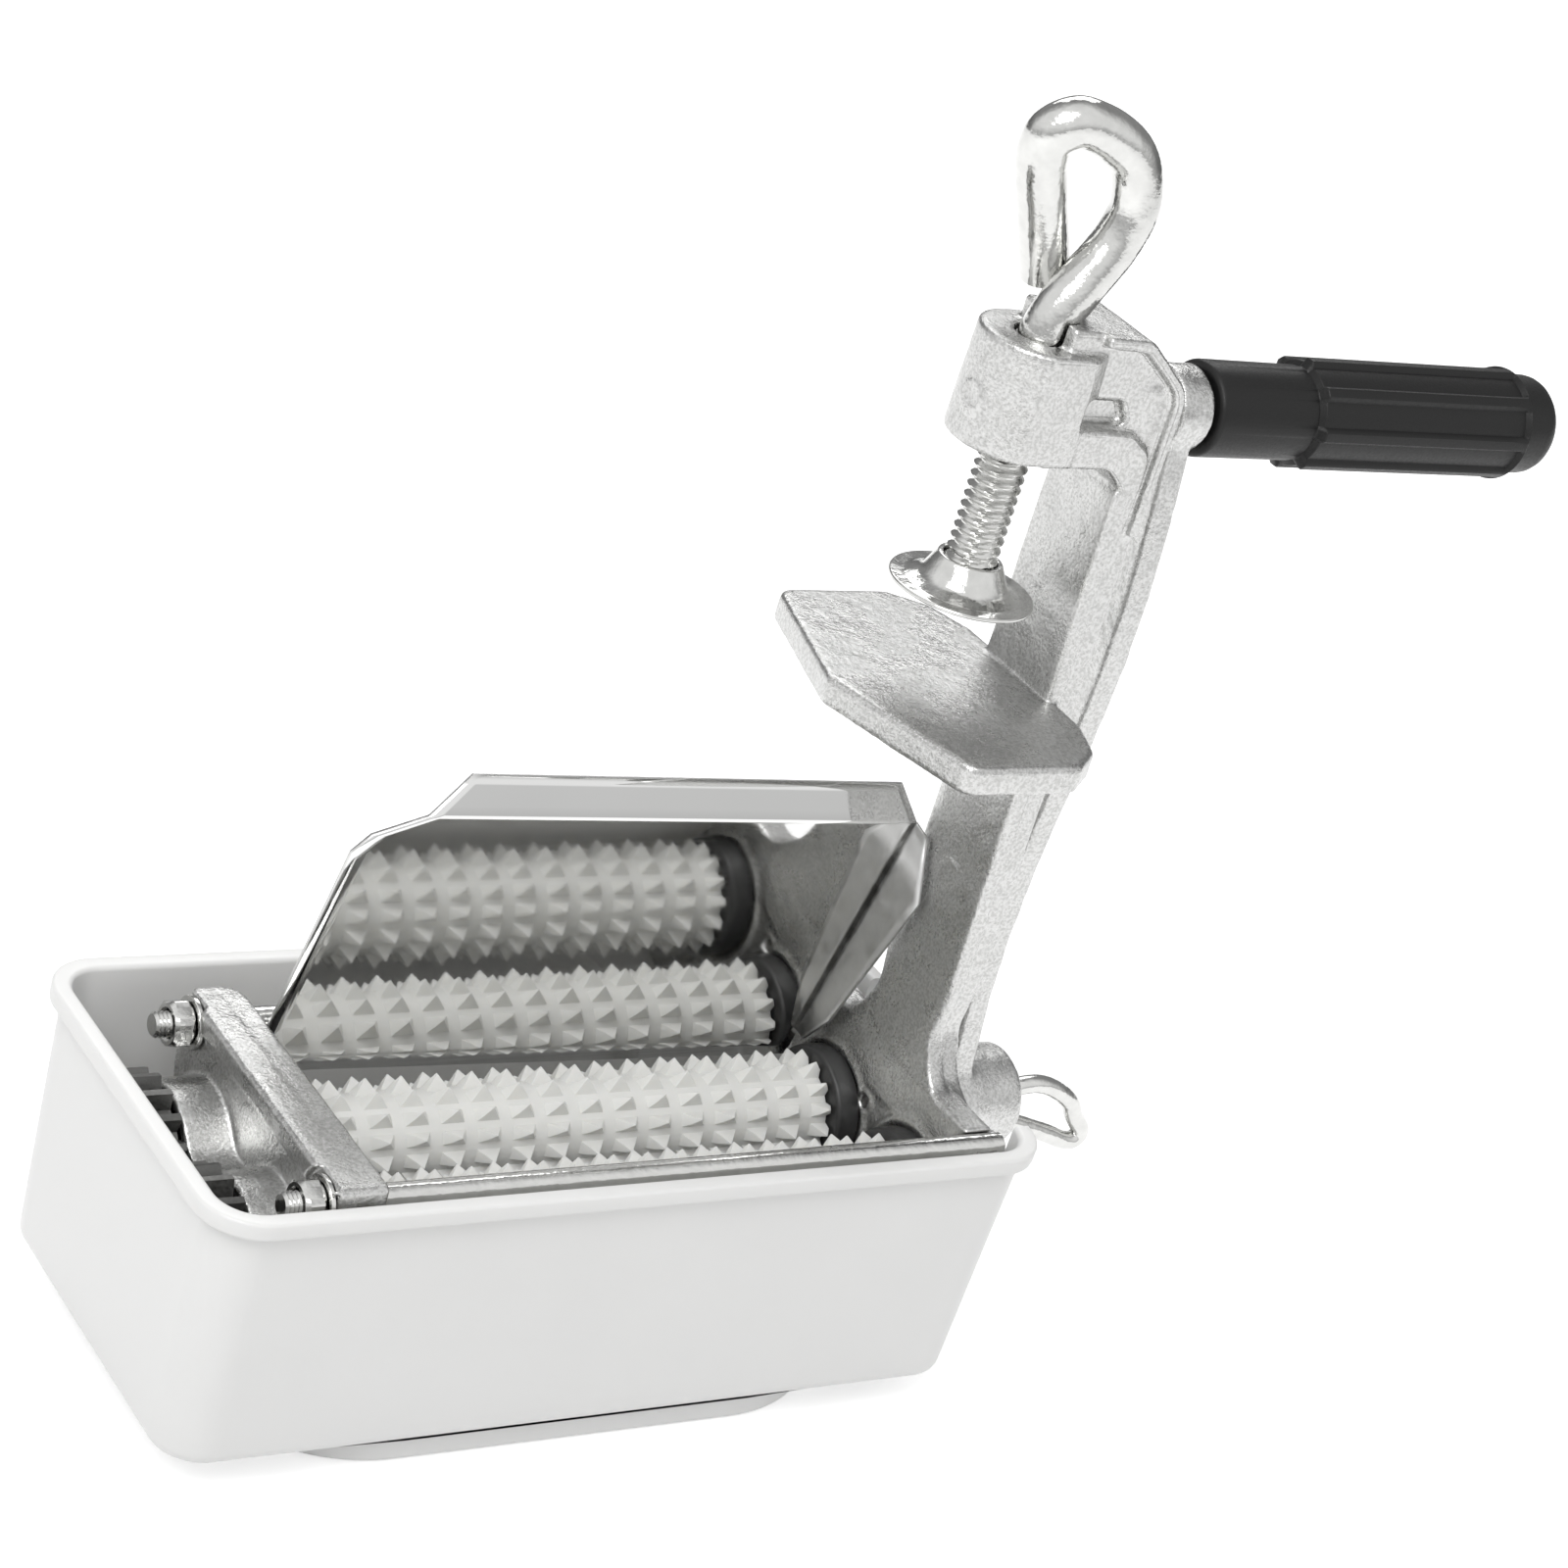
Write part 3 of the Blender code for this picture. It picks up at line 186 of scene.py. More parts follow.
def smooth_path(knots, count):
    """Points evenly spread along a Catmull-Rom curve through the knots."""
    knots = np.array(knots, float)
    ends = np.concatenate([[2 * knots[0] - knots[1]], knots, [2 * knots[-1] - knots[-2]]])
    t = np.linspace(0, 1, 24, endpoint=False)[:, None]
    pieces = []
    for a, b, c, d in zip(ends, ends[1:], ends[2:], ends[3:]):
        pieces.append(0.5 * (2 * b + (c - a) * t + (2 * a - 5 * b + 4 * c - d) * t ** 2
                             + (3 * b - a - 3 * c + d) * t ** 3))
    curve = np.concatenate(pieces + [knots[-1:]])
    length = np.concatenate([[0], np.cumsum(np.linalg.norm(np.diff(curve, axis=0), axis=1))])
    even = np.linspace(0, length[-1], count)
    return np.stack([np.interp(even, length, curve[:, k]) for k in range(3)], -1)


def swept(path, radius, across, count=28):
    """A tube along a path: rings of points about it, turned so that they start as near `across` as they can."""
    tangent = np.gradient(path, axis=0)
    tangent /= np.linalg.norm(tangent, axis=1)[:, None]
    side = np.broadcast_to(np.array(across, float), path.shape)
    side = side - tangent * (side * tangent).sum(1, keepdims=True)
    side /= np.linalg.norm(side, axis=1)[:, None]
    up = np.cross(tangent, side)
    angle = np.arange(count) * 2 * pi / count
    ring = side[:, None] * np.cos(angle)[None, :, None] + up[:, None] * np.sin(angle)[None, :, None]
    return path[:, None] + ring * np.broadcast_to(radius, len(path))[:, None, None]


def capped(grid):
    """A tube of rings with flat ends, each drawn in to its middle."""
    ends = [np.broadcast_to(row.mean(1, keepdims=True), row.shape) for row in (grid[:1], grid[-1:])]
    grid = np.concatenate([ends[0], grid, ends[1]])
    return grid, grid_faces(len(grid), grid.shape[1])


# ---------------------------------------------------------------- castings, from signed distances

def outline_distance(u, v, outline):
    """Signed distance in a plane to a closed outline: to its nearest edge, negative inside."""
    shape = np.broadcast(u, v).shape
    nearest = np.full(shape, 1e9, np.float32)
    inside = np.zeros(shape, bool)
    for (au, av), (bu, bv) in zip(outline, np.roll(outline, -1, 0)):
        eu, ev = bu - au, bv - av
        share = np.clip(((u - au) * eu + (v - av) * ev) / max(eu * eu + ev * ev, 1e-9), 0, 1)
        nearest = np.minimum(nearest, (u - au - share * eu) ** 2 + (v - av - share * ev) ** 2)
        if ev:
            inside ^= ((av > v) != (bv > v)) & (u < au + (v - av) * eu / ev)
    return np.where(inside, -1, 1) * np.sqrt(nearest)


def lattice_noise(shape, step, size, seed):
    """Smooth noise from -1 to 1: random values on a lattice of `size`, eased from point to point."""
    counts = [int(n * step / size) + 3 for n in shape]
    values = np.random.default_rng(seed).uniform(-1, 1, counts).astype(np.float32)
    for axis, n in enumerate(shape):
        where = np.arange(n, dtype=np.float32) * step / size
        low = where.astype(int)
        share = (where - low).reshape([-1 if k == axis else 1 for k in range(3)])
        share = share * share * (3 - 2 * share)
        first = np.take(values, low, axis)
        values = first + (np.take(values, low + 1, axis) - first) * share
    return values


class Casting:
    """A solid held as signed distances on a grid, so that pieces flow into each other with fillets."""

    def __init__(self, low, high, step):
        self.step = step * FINE
        self.low = np.array(low, float) - 4 * self.step
        self.shape = [int((b - a) / self.step) + 9 for a, b in zip(low, high)]
        lines = [(self.low[k] + self.step * np.arange(self.shape[k])).astype(np.float32) for k in range(3)]
        self.lines = [lines[0][:, None, None], lines[1][None, :, None], lines[2][None, None, :]]
        self.field = np.full(self.shape, 30, np.float32)

    def window(self, low, high, margin):
        """The part of the grid within a margin of a box, and its coordinates."""
        part = []
        for k in range(3):
            first = int((low[k] - margin - self.low[k]) / self.step)
            last = int((high[k] + margin - self.low[k]) / self.step) + 2
            part.append(slice(max(0, first), max(1, min(self.shape[k], last))))
        return tuple(part), [self.lines[0][part[0]], self.lines[1][:, part[1]], self.lines[2][:, :, part[2]]]

    def blend(self, part, distance, cut, soft):
        """Adds or cuts a shape, with a fillet about as wide as `soft` where the surfaces meet."""
        old = self.field[part]
        new = distance
        if cut:
            old, new = -old, new
        least = np.minimum(old, new)
        if soft:
            near = np.maximum(soft - np.abs(old - new), 0) / soft
            least = least - near ** 3 * soft / 6
        self.field[part] = -least if cut else least

    def around(self, axis, low, high, flat_low, flat_high, margin):
        """The window round a shape, its coordinates along the axis and those on the other two axes."""
        a = "XYZ".index(axis)
        others = [k for k in range(3) if k != a]
        corners = np.zeros((2, 3))
        corners[:, a] = low, high
        corners[:, others] = flat_low, flat_high
        part, lines = self.window(*corners, margin)
        return part, lines[a], lines[others[0]], lines[others[1]]

    def carry(self, part, flat, along, low, high, round, soft, cut, draft):
        """Blends in a flat distance carried from low to high, with rounded edges and leaning walls."""
        side = flat + round + draft * (along - low)
        end = np.abs(along - (low + high) / 2) - (high - low) / 2 + round
        outside = np.sqrt(np.maximum(side, 0) ** 2 + np.maximum(end, 0) ** 2)
        self.blend(part, outside + np.minimum(np.maximum(side, end), 0) - round, cut, soft)

    def prism(self, axis, outline, low, high, round=1.0, soft=0.0, cut=False, draft=0.0):
        """An outline carried along an axis, with rounded edges and walls that lean by a draft."""
        part, along, u, v = self.around(axis, low, high, outline.min(0), outline.max(0), max(soft, 2) + 3)
        self.carry(part, outline_distance(u, v, outline), along, low, high, round, soft, cut, draft)

    def cylinder(self, axis, centre, radius, low, high, round=1.0, soft=0.0, cut=False, draft=0.0):
        """A round bar along an axis, with rounded ends and a radius that shrinks by a draft."""
        middle = np.array(centre)
        part, along, u, v = self.around(axis, low, high, middle - radius, middle + radius, max(soft, 2) + 3)
        flat = np.hypot(u - centre[0], v - centre[1]) - radius
        self.carry(part, flat, along, low, high, round, soft, cut, draft)

    def bead(self, axis, centre, radius, along, thick, soft=1.0):
        """A round bead bent into a ring about an axis."""
        middle, reach = np.array(centre), radius + thick
        part, lines, u, v = self.around(axis, along - thick, along + thick, middle - reach, middle + reach, 3)
        flat = np.hypot(u - centre[0], v - centre[1]) - radius
        self.blend(part, np.hypot(flat, lines - along) - thick, False, soft)

    def roughen(self, height, size, seed):
        self.field += height * lattice_noise(self.shape, self.step, size, seed)

    def piece(self, name):
        """The surface where the distance is nought."""
        grid = openvdb.FloatGrid(30.0)
        grid.copyFromArray(self.field)
        points, triangles, quads = grid.convertToPolygons(isovalue=0.0, adaptivity=0.0)
        mesh = bpy.data.meshes.new(name)
        points = points * self.step + self.low
        quads = quads[:, ::-1]
        fill_mesh(mesh, points, quads.tolist() + triangles[:, ::-1].tolist())
        work = bmesh.new()
        work.from_mesh(mesh)
        if work.calc_volume(signed=True) < 0:
            bmesh.ops.reverse_faces(work, faces=work.faces)
            work.to_mesh(mesh)
        work.free()
        return finish_piece(name, mesh)


def mirrored(half, centre, step=15.0):
    """An outline from the corners of its +Y half, top to bottom, as (offset, z, radius)."""
    right = [(centre + offset, z, radius) for offset, z, radius in half]
    left = [(centre - offset, z, radius) for offset, z, radius in reversed(half)]
    return arc_corners(right + left, step)


# ---------------------------------------------------------------- materials

def linear(hex_colour):
    """A #rrggbb colour as the linear values that a shader takes."""
    parts = [int(hex_colour[k:k + 2], 16) / 255 for k in (1, 3, 5)]
    return tuple(c / 12.92 if c <= 0.04045 else ((c + 0.055) / 1.055) ** 2.4 for c in parts) + (1.0,)


def node(tree, kind, inputs=None, **settings):
    """Adds a node; an input given as a socket is linked, and any other value is set."""
    new = tree.nodes.new(kind)
    for key, value in settings.items():
        setattr(new, key, value)
    for key, value in (inputs or {}).items():
        socket = new.inputs[key]
        if isinstance(value, bpy.types.NodeSocket):
            tree.links.new(value, socket)
        else:
            socket.default_value = value
    return new


def new_material(name, **sockets):
    """A material with one Principled shader and a coordinate node, and its tree."""
    material = bpy.data.materials.new(name)
    material.use_nodes = True
    tree = material.node_tree
    shader = tree.nodes["Principled BSDF"]
    for key, value in sockets.items():
        shader.inputs[key.replace("_", " ")].default_value = value
    coordinates = node(tree, "ShaderNodeTexCoord")
    return material, tree, shader, coordinates.outputs["Object"]


def noise(tree, position, size_mm, detail=2.0, roughness=0.55, stretch=None):
    """Noise whose grains are about size_mm wide; stretch lengthens them along X, Y and Z."""
    if stretch:
        position = node(tree, "ShaderNodeMapping", {"Vector": position, "Scale": [1 / k for k in stretch]},
                        vector_type="POINT").outputs["Vector"]
    return node(tree, "ShaderNodeTexNoise", {"Vector": position, "Scale": 1 / (size_mm * MM), "Detail": detail,
                                             "Roughness": roughness}).outputs["Fac"]


def ramp(tree, value, low, high, out_low=0.0, out_high=1.0):
    return node(tree, "ShaderNodeMapRange", {
        "Value": value, "From Min": low, "From Max": high, "To Min": out_low, "To Max": out_high,
    }, interpolation_type="SMOOTHSTEP").outputs["Result"]


def combine(tree, operation, first, second):
    return node(tree, "ShaderNodeMath", {0: first, 1: second}, operation=operation).outputs[0]


def tint(tree, fac, first, second):
    """A colour that goes from the first hex value to the second."""
    mix = node(tree, "ShaderNodeMix", {"Factor": fac}, data_type="RGBA")
    for key, value in (("A", first), ("B", second)):
        socket = [s for s in mix.inputs if s.name == key and s.type == "RGBA"][0]
        socket.default_value = linear(value)
    return [s for s in mix.outputs if s.type == "RGBA"][0]


def add_up(tree, first, second, share):
    """The first pattern and a share of the second."""
    return combine(tree, "ADD", first, combine(tree, "MULTIPLY", second, share))


def dress(tree, shader, colour, rough, height, depth_mm):
    """Links a material's three patterns: its colour, its roughness and its relief."""
    relief = node(tree, "ShaderNodeBump", {"Height": height, "Distance": depth_mm * MM, "Strength": 1.0})
    tree.links.new(tint(tree, *colour), shader.inputs["Base Color"])
    tree.links.new(ramp(tree, *rough), shader.inputs["Roughness"])
    tree.links.new(relief.outputs["Normal"], shader.inputs["Normal"])


def make_casting_metal():
    """Tinned cast iron, tumbled bright: a sand-cast grain under a bright skin, and ground faces.

    The grain breaks every reflection into specks; the clamp's side faces carry fine ground scratches along X.
    """
    material, tree, shader, spot = new_material("tinned_cast_iron", Metallic=1.0)
    grain = noise(tree, spot, 0.8, 3.0, 0.62)
    lumps = noise(tree, spot, 4.0)
    patches = noise(tree, spot, 15.0)
    coordinates = [n for n in tree.nodes if n.type == "TEX_COORD"][0]
    facing = node(tree, "ShaderNodeSeparateXYZ", {"Vector": coordinates.outputs["Normal"]})
    where = node(tree, "ShaderNodeSeparateXYZ", {"Vector": spot})
    side = combine(tree, "ABSOLUTE", facing.outputs["Y"], 0.0)
    on_the_clamp = ramp(tree, where.outputs["Z"], 0.215, 0.232)
    ground = combine(tree, "MULTIPLY", ramp(tree, side, 0.90, 0.985), on_the_clamp)
    rough = combine(tree, "SUBTRACT", 1.0, ground)
    scratches = noise(tree, spot, 0.9, 3.0, 0.6, stretch=(14.0, 1.0, 1.0))
    height = combine(tree, "MULTIPLY", add_up(tree, grain, lumps, 0.9), rough)
    height = add_up(tree, height, scratches, combine(tree, "MULTIPLY", ground, 0.22))
    specks = combine(tree, "MULTIPLY", ramp(tree, grain, 0.36, 0.62, 0.35, 1.0),
                     ramp(tree, patches, 0.2, 0.6, 0.75, 1.0))
    dress(tree, shader, (specks, "#a6a6a4", "#d2d2d1"),
          (add_up(tree, patches, grain, 0.3), 0.45, 0.85, 0.20, 0.36), height, 0.20)
    return material


def make_mirror_sheet():
    """Polished stainless sheet, rolled bright: a near-perfect mirror with a faint draw-line haze."""
    material, tree, shader, spot = new_material("polished_stainless_sheet", Metallic=1.0)
    haze = noise(tree, spot, 0.8, stretch=(60.0, 1.0, 1.0))
    swell = noise(tree, spot, 45.0, 1.0)
    dress(tree, shader, (swell, "#dcdcdb", "#e4e4e3"), (haze, 0.3, 0.7, 0.035, 0.07), swell, 0.10)
    return material


def make_brushed_edge():
    """Cut and hand-dressed stainless edge: coarser brush marks and no mirror."""
    material, tree, shader, spot = new_material("dressed_stainless_edge", Metallic=1.0)
    marks = noise(tree, spot, 1.0, 3.0, 0.65, stretch=(1.0, 3.0, 3.0))
    dress(tree, shader, (marks, "#c6c6c5", "#e2e2e1"), (marks, 0.3, 0.7, 0.32, 0.5), marks, 0.05)
    return material


def make_plated_steel():
    """Bright zinc-plated steel rod: a soft shine with small dents and drawn-in lines."""
    material, tree, shader, spot = new_material("bright_zinc_plated_steel", Metallic=1.0)
    dents = noise(tree, spot, 3.2)
    specks = noise(tree, spot, 0.7)
    dress(tree, shader, (dents, "#c6c6c4", "#dededc"),
          (combine(tree, "ADD", dents, specks), 0.8, 1.3, 0.09, 0.20), add_up(tree, dents, specks, 0.18), 0.16)
    return material


def make_gear_steel():
    """Oiled sintered steel, dark and dull, with a fine even grain."""
    material, tree, shader, spot = new_material("oiled_sintered_steel", Metallic=1.0)
    grain = noise(tree, spot, 0.9, 3.0)
    dress(tree, shader, (grain, "#5c5c5b", "#7d7d7b"), (grain, 0.3, 0.7, 0.32, 0.55), grain, 0.08)
    return material


def make_roller_nylon():
    """Natural cast nylon, waxy and translucent: light soaks in and the tooth edges glow a little."""
    material, tree, shader, spot = new_material(
        "natural_cast_nylon", Subsurface_Weight=0.35, Subsurface_Radius=(1.0, 0.95, 0.85),
        Subsurface_Scale=0.0025, IOR=1.53)
    cloud = noise(tree, spot, 7.0)
    skin = noise(tree, spot, 1.2)
    dress(tree, shader, (cloud, "#dededb", "#e8e8e5"), (cloud, 0.3, 0.7, 0.32, 0.46),
          add_up(tree, cloud, skin, 0.25), 0.16)
    return material


def make_tub_plastic():
    """White polypropylene, injection moulded: smooth, slightly waxy, with faint flow unevenness."""
    material, tree, shader, spot = new_material(
        "white_polypropylene", Subsurface_Weight=0.15, Subsurface_Radius=(1.0, 0.97, 0.9),
        Subsurface_Scale=0.003, IOR=1.49)
    flow = noise(tree, spot, 40.0)
    skin = noise(tree, spot, 1.6)
    dress(tree, shader, (flow, "#e3e3e2", "#e9e9e8"), (flow, 0.3, 0.7, 0.28, 0.38),
          add_up(tree, flow, skin, 0.06), 0.25)
    return material


def make_grip_plastic():
    """Black polypropylene with a spark-eroded mould texture: satin, with a fine even pebble."""
    material, tree, shader, spot = new_material("satin_black_polypropylene", IOR=1.49, Specular_IOR_Level=0.35)
    pebble = noise(tree, spot, 0.6)
    dress(tree, shader, (pebble, "#101010", "#191919"), (pebble, 0.3, 0.7, 0.36, 0.5), pebble, 0.04)
    return material


def make_bush_plastic():
    """Dark grey acetal, turned: rings of fine tool marks are too small to see, so a soft haze stands in."""
    material, tree, shader, spot = new_material("dark_acetal", IOR=1.48)
    haze = noise(tree, spot, 1.5)
    dress(tree, shader, (haze, "#2b2b2b", "#363636"), (haze, 0.3, 0.7, 0.34, 0.46), haze, 0.03)
    return material


CAST, MIRROR, EDGE, PLATED = make_casting_metal(), make_mirror_sheet(), make_brushed_edge(), make_plated_steel()
GEAR, NYLON, TUB, GRIP, BUSH = (make_gear_steel(), make_roller_nylon(), make_tub_plastic(),
                                make_grip_plastic(), make_bush_plastic())


def hand_over(obj, body, slot, material, *nodes):
    """Gives a piece its material and its body, and hides the nodes it stands for; the slot is not used."""
    if not obj.data.materials:
        obj.data.materials.append(material)
    if nodes:
        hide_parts(*nodes)
    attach(obj, body)
    return obj


# ---------------------------------------------------------------- the tub

def box_loop(length, width, corner, height, count=26):
    """A closed loop round a box with rounded corners: four straight sides, four arcs, all at one height."""
    half_u, half_v = length / 2 - corner, width / 2 - corner
    quarter = np.linspace(0, pi / 2, count)
    loops = []
    for k, (su, sv) in enumerate(((1, 1), (-1, 1), (-1, -1), (1, -1))):
        angle = quarter + k * pi / 2
        loops.append(np.stack([su * half_u + corner * np.cos(angle), sv * half_v + corner * np.sin(angle)], -1))
    flat = np.concatenate(loops)
    return np.concatenate([flat, np.full((len(flat), 1), height)], -1)


def make_tub():
    """Loops stacked from the middle of the basin, up the inside, over the rolled rim and down to the foot."""
    rim_reach, rim_drop, wall, taper, corner = 2.6, 4.5, 2.0, 2.0, 9.0
    foot_height, basin_floor = 8.0, 2.0
    floor = foot_height + wall
    top = TUB_HIGH[2]
    length = TUB_HIGH[0] - TUB_LOW[0] - 2 * (wall + rim_reach)
    width = TUB_HIGH[1] - TUB_LOW[1] - 2 * (wall + rim_reach)
    foot_length, foot_width, foot_corner = length - 41.5, width - 8.0, 38.0

    def body(out, z, slack=0.0):
        lean = taper * (top - z) / (top - floor)
        grow = 2 * (out - lean - slack)
        return box_loop(length + grow, width + grow, max(corner + out - slack, 1.0), z)

    def foot(out, z):
        return box_loop(foot_length + 2 * out, foot_width + 2 * out, foot_corner + out, z)

    def bend(maker, out, z, start, stop, radius, count=7):
        """Loops round a bend: `maker` at points on an arc about (out, z)."""
        angles = np.radians(np.linspace(start, stop, count))
        return [maker(out + radius * cos(a), z + radius * sin(a)) for a in angles]

    rows = [foot(-41.0, basin_floor), foot(-12, basin_floor)]
    rows += bend(foot, -wall - 3, basin_floor + 3, -90, 0, 3.0)
    rows += bend(foot, -wall + 1.2, floor - 1.2, 180, 90, 1.2)
    rows.append(body(-6, floor))
    rows += bend(body, -3.0, floor + 3.0, -90, 0, 3.0)
    rows += [body(0, z) for z in np.linspace(floor + 8, top - 6, 9)]
    rows += bend(body, 1.2, top - 1.2, 180, 90, 1.2)
    rows += bend(body, wall + rim_reach - 0.8, top - 0.8, 90, 0, 0.8, 7)
    rows += bend(body, wall + rim_reach - 1.0, top - rim_drop + 1.0, 0, -90, 1.0, 5)
    rows += bend(body, wall + 1.0, top - rim_drop - 1.0, 90, 180, 1.0, 5)
    rows += [body(wall, z) for z in np.linspace(top - 12, floor + 8, 9)]
    rows += bend(body, wall - 3.5, foot_height + 3.5, 0, -90, 3.5, 9)
    rows.append(foot(2.5, foot_height))
    rows += bend(foot, 1.5, foot_height - 1.5, 90, 180, 1.5, 5)
    rows += bend(foot, -2.0, 2.0, 0, -90, 2.0)
    rows.append(foot(-41.0, 0.0))
    grid = np.stack(rows)
    centre = [np.broadcast_to(row.mean(0), row.shape) for row in (grid[0], grid[-1])]
    grid = np.concatenate([centre[0][None], grid, centre[1][None]])
    tub = build("tub_shell", [(grid, grid_faces(len(grid), grid.shape[1]))], 50)
    low = AXIS_Z - 14.5
    half = (DRIVE_Y - IDLER_Y) / 2 + 14.4
    y0, y1 = CRUSHER_Y - half, CRUSHER_Y + half
    outline = arc_corners([(y0, top + 5, 0), (y0, low, 8), (y1, low, 8), (y1, top + 5, 0)], 10)
    first, last = length / 2 - 8, length / 2 + 12
    points = np.concatenate([place("X", x, outline[:, 0], outline[:, 1]) for x in (first, last)])
    count = len(outline)
    sides = [(k, (k + 1) % count, count + (k + 1) % count, count + k) for k in range(count)]
    notch = build("notch", [(points, [tuple(range(count)), tuple(range(count, 2 * count))] + sides)])
    modifier = tub.modifiers.new("notch", "BOOLEAN")
    modifier.operation, modifier.solver, modifier.object = "DIFFERENCE", "EXACT", notch
    graph = bpy.context.evaluated_depsgraph_get()
    mesh = bpy.data.meshes.new_from_object(tub.evaluated_get(graph))
    tub.modifiers.clear()
    tub.data = mesh
    bpy.data.objects.remove(notch)
    mesh.shade_smooth()
    mesh.set_sharp_from_angle(angle=radians(50))
    hand_over(tub, "tub", "tub_plastic", TUB, "tub")


# ---------------------------------------------------------------- rollers, gears and shafts

TOOTH_ROWS, TOOTH_PITCH, TOOTH_TIP, TOOTH_ROOT, TOOTH_SHARE = 14, 9.2, 14.6, 10.8, 0.66
SHAFT_RADIUS = 5.0


def make_roller(name, node_name, y, body):
    """A cylinder whose radius rises to a pyramid over each tooth.

    Over a cell of pitch by pitch, the height falls evenly with the larger of the two distances from
    the cell's middle, to nothing at the edge of the tooth's square base; the grooves between are plain.
    """
    start, end = ROLLER_LOW[0], ROLLER_HIGH[0]
    stops = np.array([0.0, 0.06, 0.5, 0.94, 1.0]) * TOOTH_SHARE / 2
    half = np.unique(np.concatenate([stops, [TOOTH_SHARE / 2 + 0.03, 0.5]]))
    cell = np.concatenate([-half[:0:-1], half])[:-1]
    columns = int(np.ceil((end - start) / TOOTH_PITCH))
    x = (np.arange(columns)[:, None] + 0.5 + cell).ravel() * TOOTH_PITCH
    x = np.concatenate([x[x < end - start - 0.05], [end - start]])
    turn = (np.arange(TOOTH_ROWS)[:, None] + cell).ravel()
    u = np.abs((x / TOOTH_PITCH) % 1 - 0.5)[:, None]
    v = np.abs((turn + 0.5) % 1 - 0.5)[None, :]
    reach = np.maximum(u, v) / (TOOTH_SHARE / 2)
    height = np.clip(1 - reach, 0, 1) * (TOOTH_TIP - TOOTH_ROOT)
    radius = TOOTH_ROOT + np.minimum(height, TOOTH_TIP - TOOTH_ROOT - 0.12)
    angle = turn * 2 * pi / TOOTH_ROWS + radians(-8)
    points = place("X", start + x[:, None], y + radius * np.sin(angle), AXIS_Z + radius * np.cos(angle))
    rows, count = points.shape[:2]
    slope_u, slope_v = (np.sign(cells % 1 - 0.5) for cells in (x / TOOTH_PITCH, turn + 0.5))
    quads = grid_faces(rows, count)
    i, j = quads[:, 0] // count, quads[:, 0] % count
    slope_u = slope_u[i] + slope_u[np.minimum(i + 1, rows - 1)]
    slope_v = slope_v[j] + slope_v[(j + 1) % count]
    along_edge = (slope_u * slope_v > 0)[:, None]  # each quad is split along its pyramid's edge
    faces = np.where(along_edge, quads[:, [0, 1, 2, 0, 2, 3]], quads[:, [0, 1, 3, 1, 2, 3]]).reshape(-1, 3)
    hole = SHAFT_RADIUS + 0.3
    caps = []
    for k in (0, -1):
        rim = points[k]
        inner = place("X", rim[:, 0], y + hole * np.sin(angle), AXIS_Z + hole * np.cos(angle))
        caps.append(((np.stack([rim, inner])), grid_faces(2, count)))
    bore = np.stack([caps[0][0][1], caps[1][0][1]])
    obj = build(name, [(points, faces)] + caps + [(bore, grid_faces(2, count))], 25)
    hand_over(obj, body, "roller_nylon", NYLON, node_name)


def make_rollers():
    make_roller("drive_roller_teeth", "drive_roller", DRIVE_Y, "drive_train")
    make_roller("idler_roller_teeth", "idler_roller", IDLER_Y, "idler")


def make_shafts():
    """Ground round bars with a clip groove, turned from their profiles."""
    for name, y, body in (("drive_shaft", DRIVE_Y, "drive_train"), ("idler_shaft", IDLER_Y, "idler")):
        low, high = span(name)
        groove = low[0] + 0.7
        profile = [(low[0], 0, 0), (low[0], SHAFT_RADIUS, 0.5), (groove, SHAFT_RADIUS, 0), (groove, 3.8, 0),
                   (groove + 1.8, 3.8, 0), (groove + 1.8, SHAFT_RADIUS, 0), (high[0], SHAFT_RADIUS, 0.5),
                   (high[0], 0, 0)]
        bar = lathe(name + "_bar", profile, "X", (y, AXIS_Z), 48)
        hand_over(bar, body, "plated_steel", PLATED, name)


def make_bushes():
    """Flanged bushes: a flat disc with a rounded lip and a short sleeve."""
    bore, sleeve = SHAFT_RADIUS + 0.3, 9.0
    for side, y in (("drive", DRIVE_Y), ("idler", IDLER_Y)):
        low, high = span(side + "_bush_right")
        flange = (high[1] - low[1]) / 2 + 0.1
        seat = PLATE_FACE - 0.3
        right = [(low[0], bore, 0.4), (low[0], flange, 1.2), (seat, flange, 0.4), (seat, sleeve, 0),
                 (high[0], sleeve, 0.4), (high[0], bore, 0)]
        low, high = span(side + "_bush_left")
        flange = (high[1] - low[1]) / 2 + 0.1
        seat = BAR_LEFT + 7.8
        left = [(low[0], bore, 0.4), (low[0], sleeve, 0.4), (seat, sleeve, 0), (seat, flange, 0.4),
                (high[0], flange, 1.0), (high[0], bore, 0)]
        for end, profile, count in (("_bush_right", right, 72), ("_bush_left", left, 64)):
            bush = lathe(side + end + "_turned", profile, "X", (y, AXIS_Z), count, ring=True)
            hand_over(bush, "crusher", "bush_plastic", BUSH, side + end)


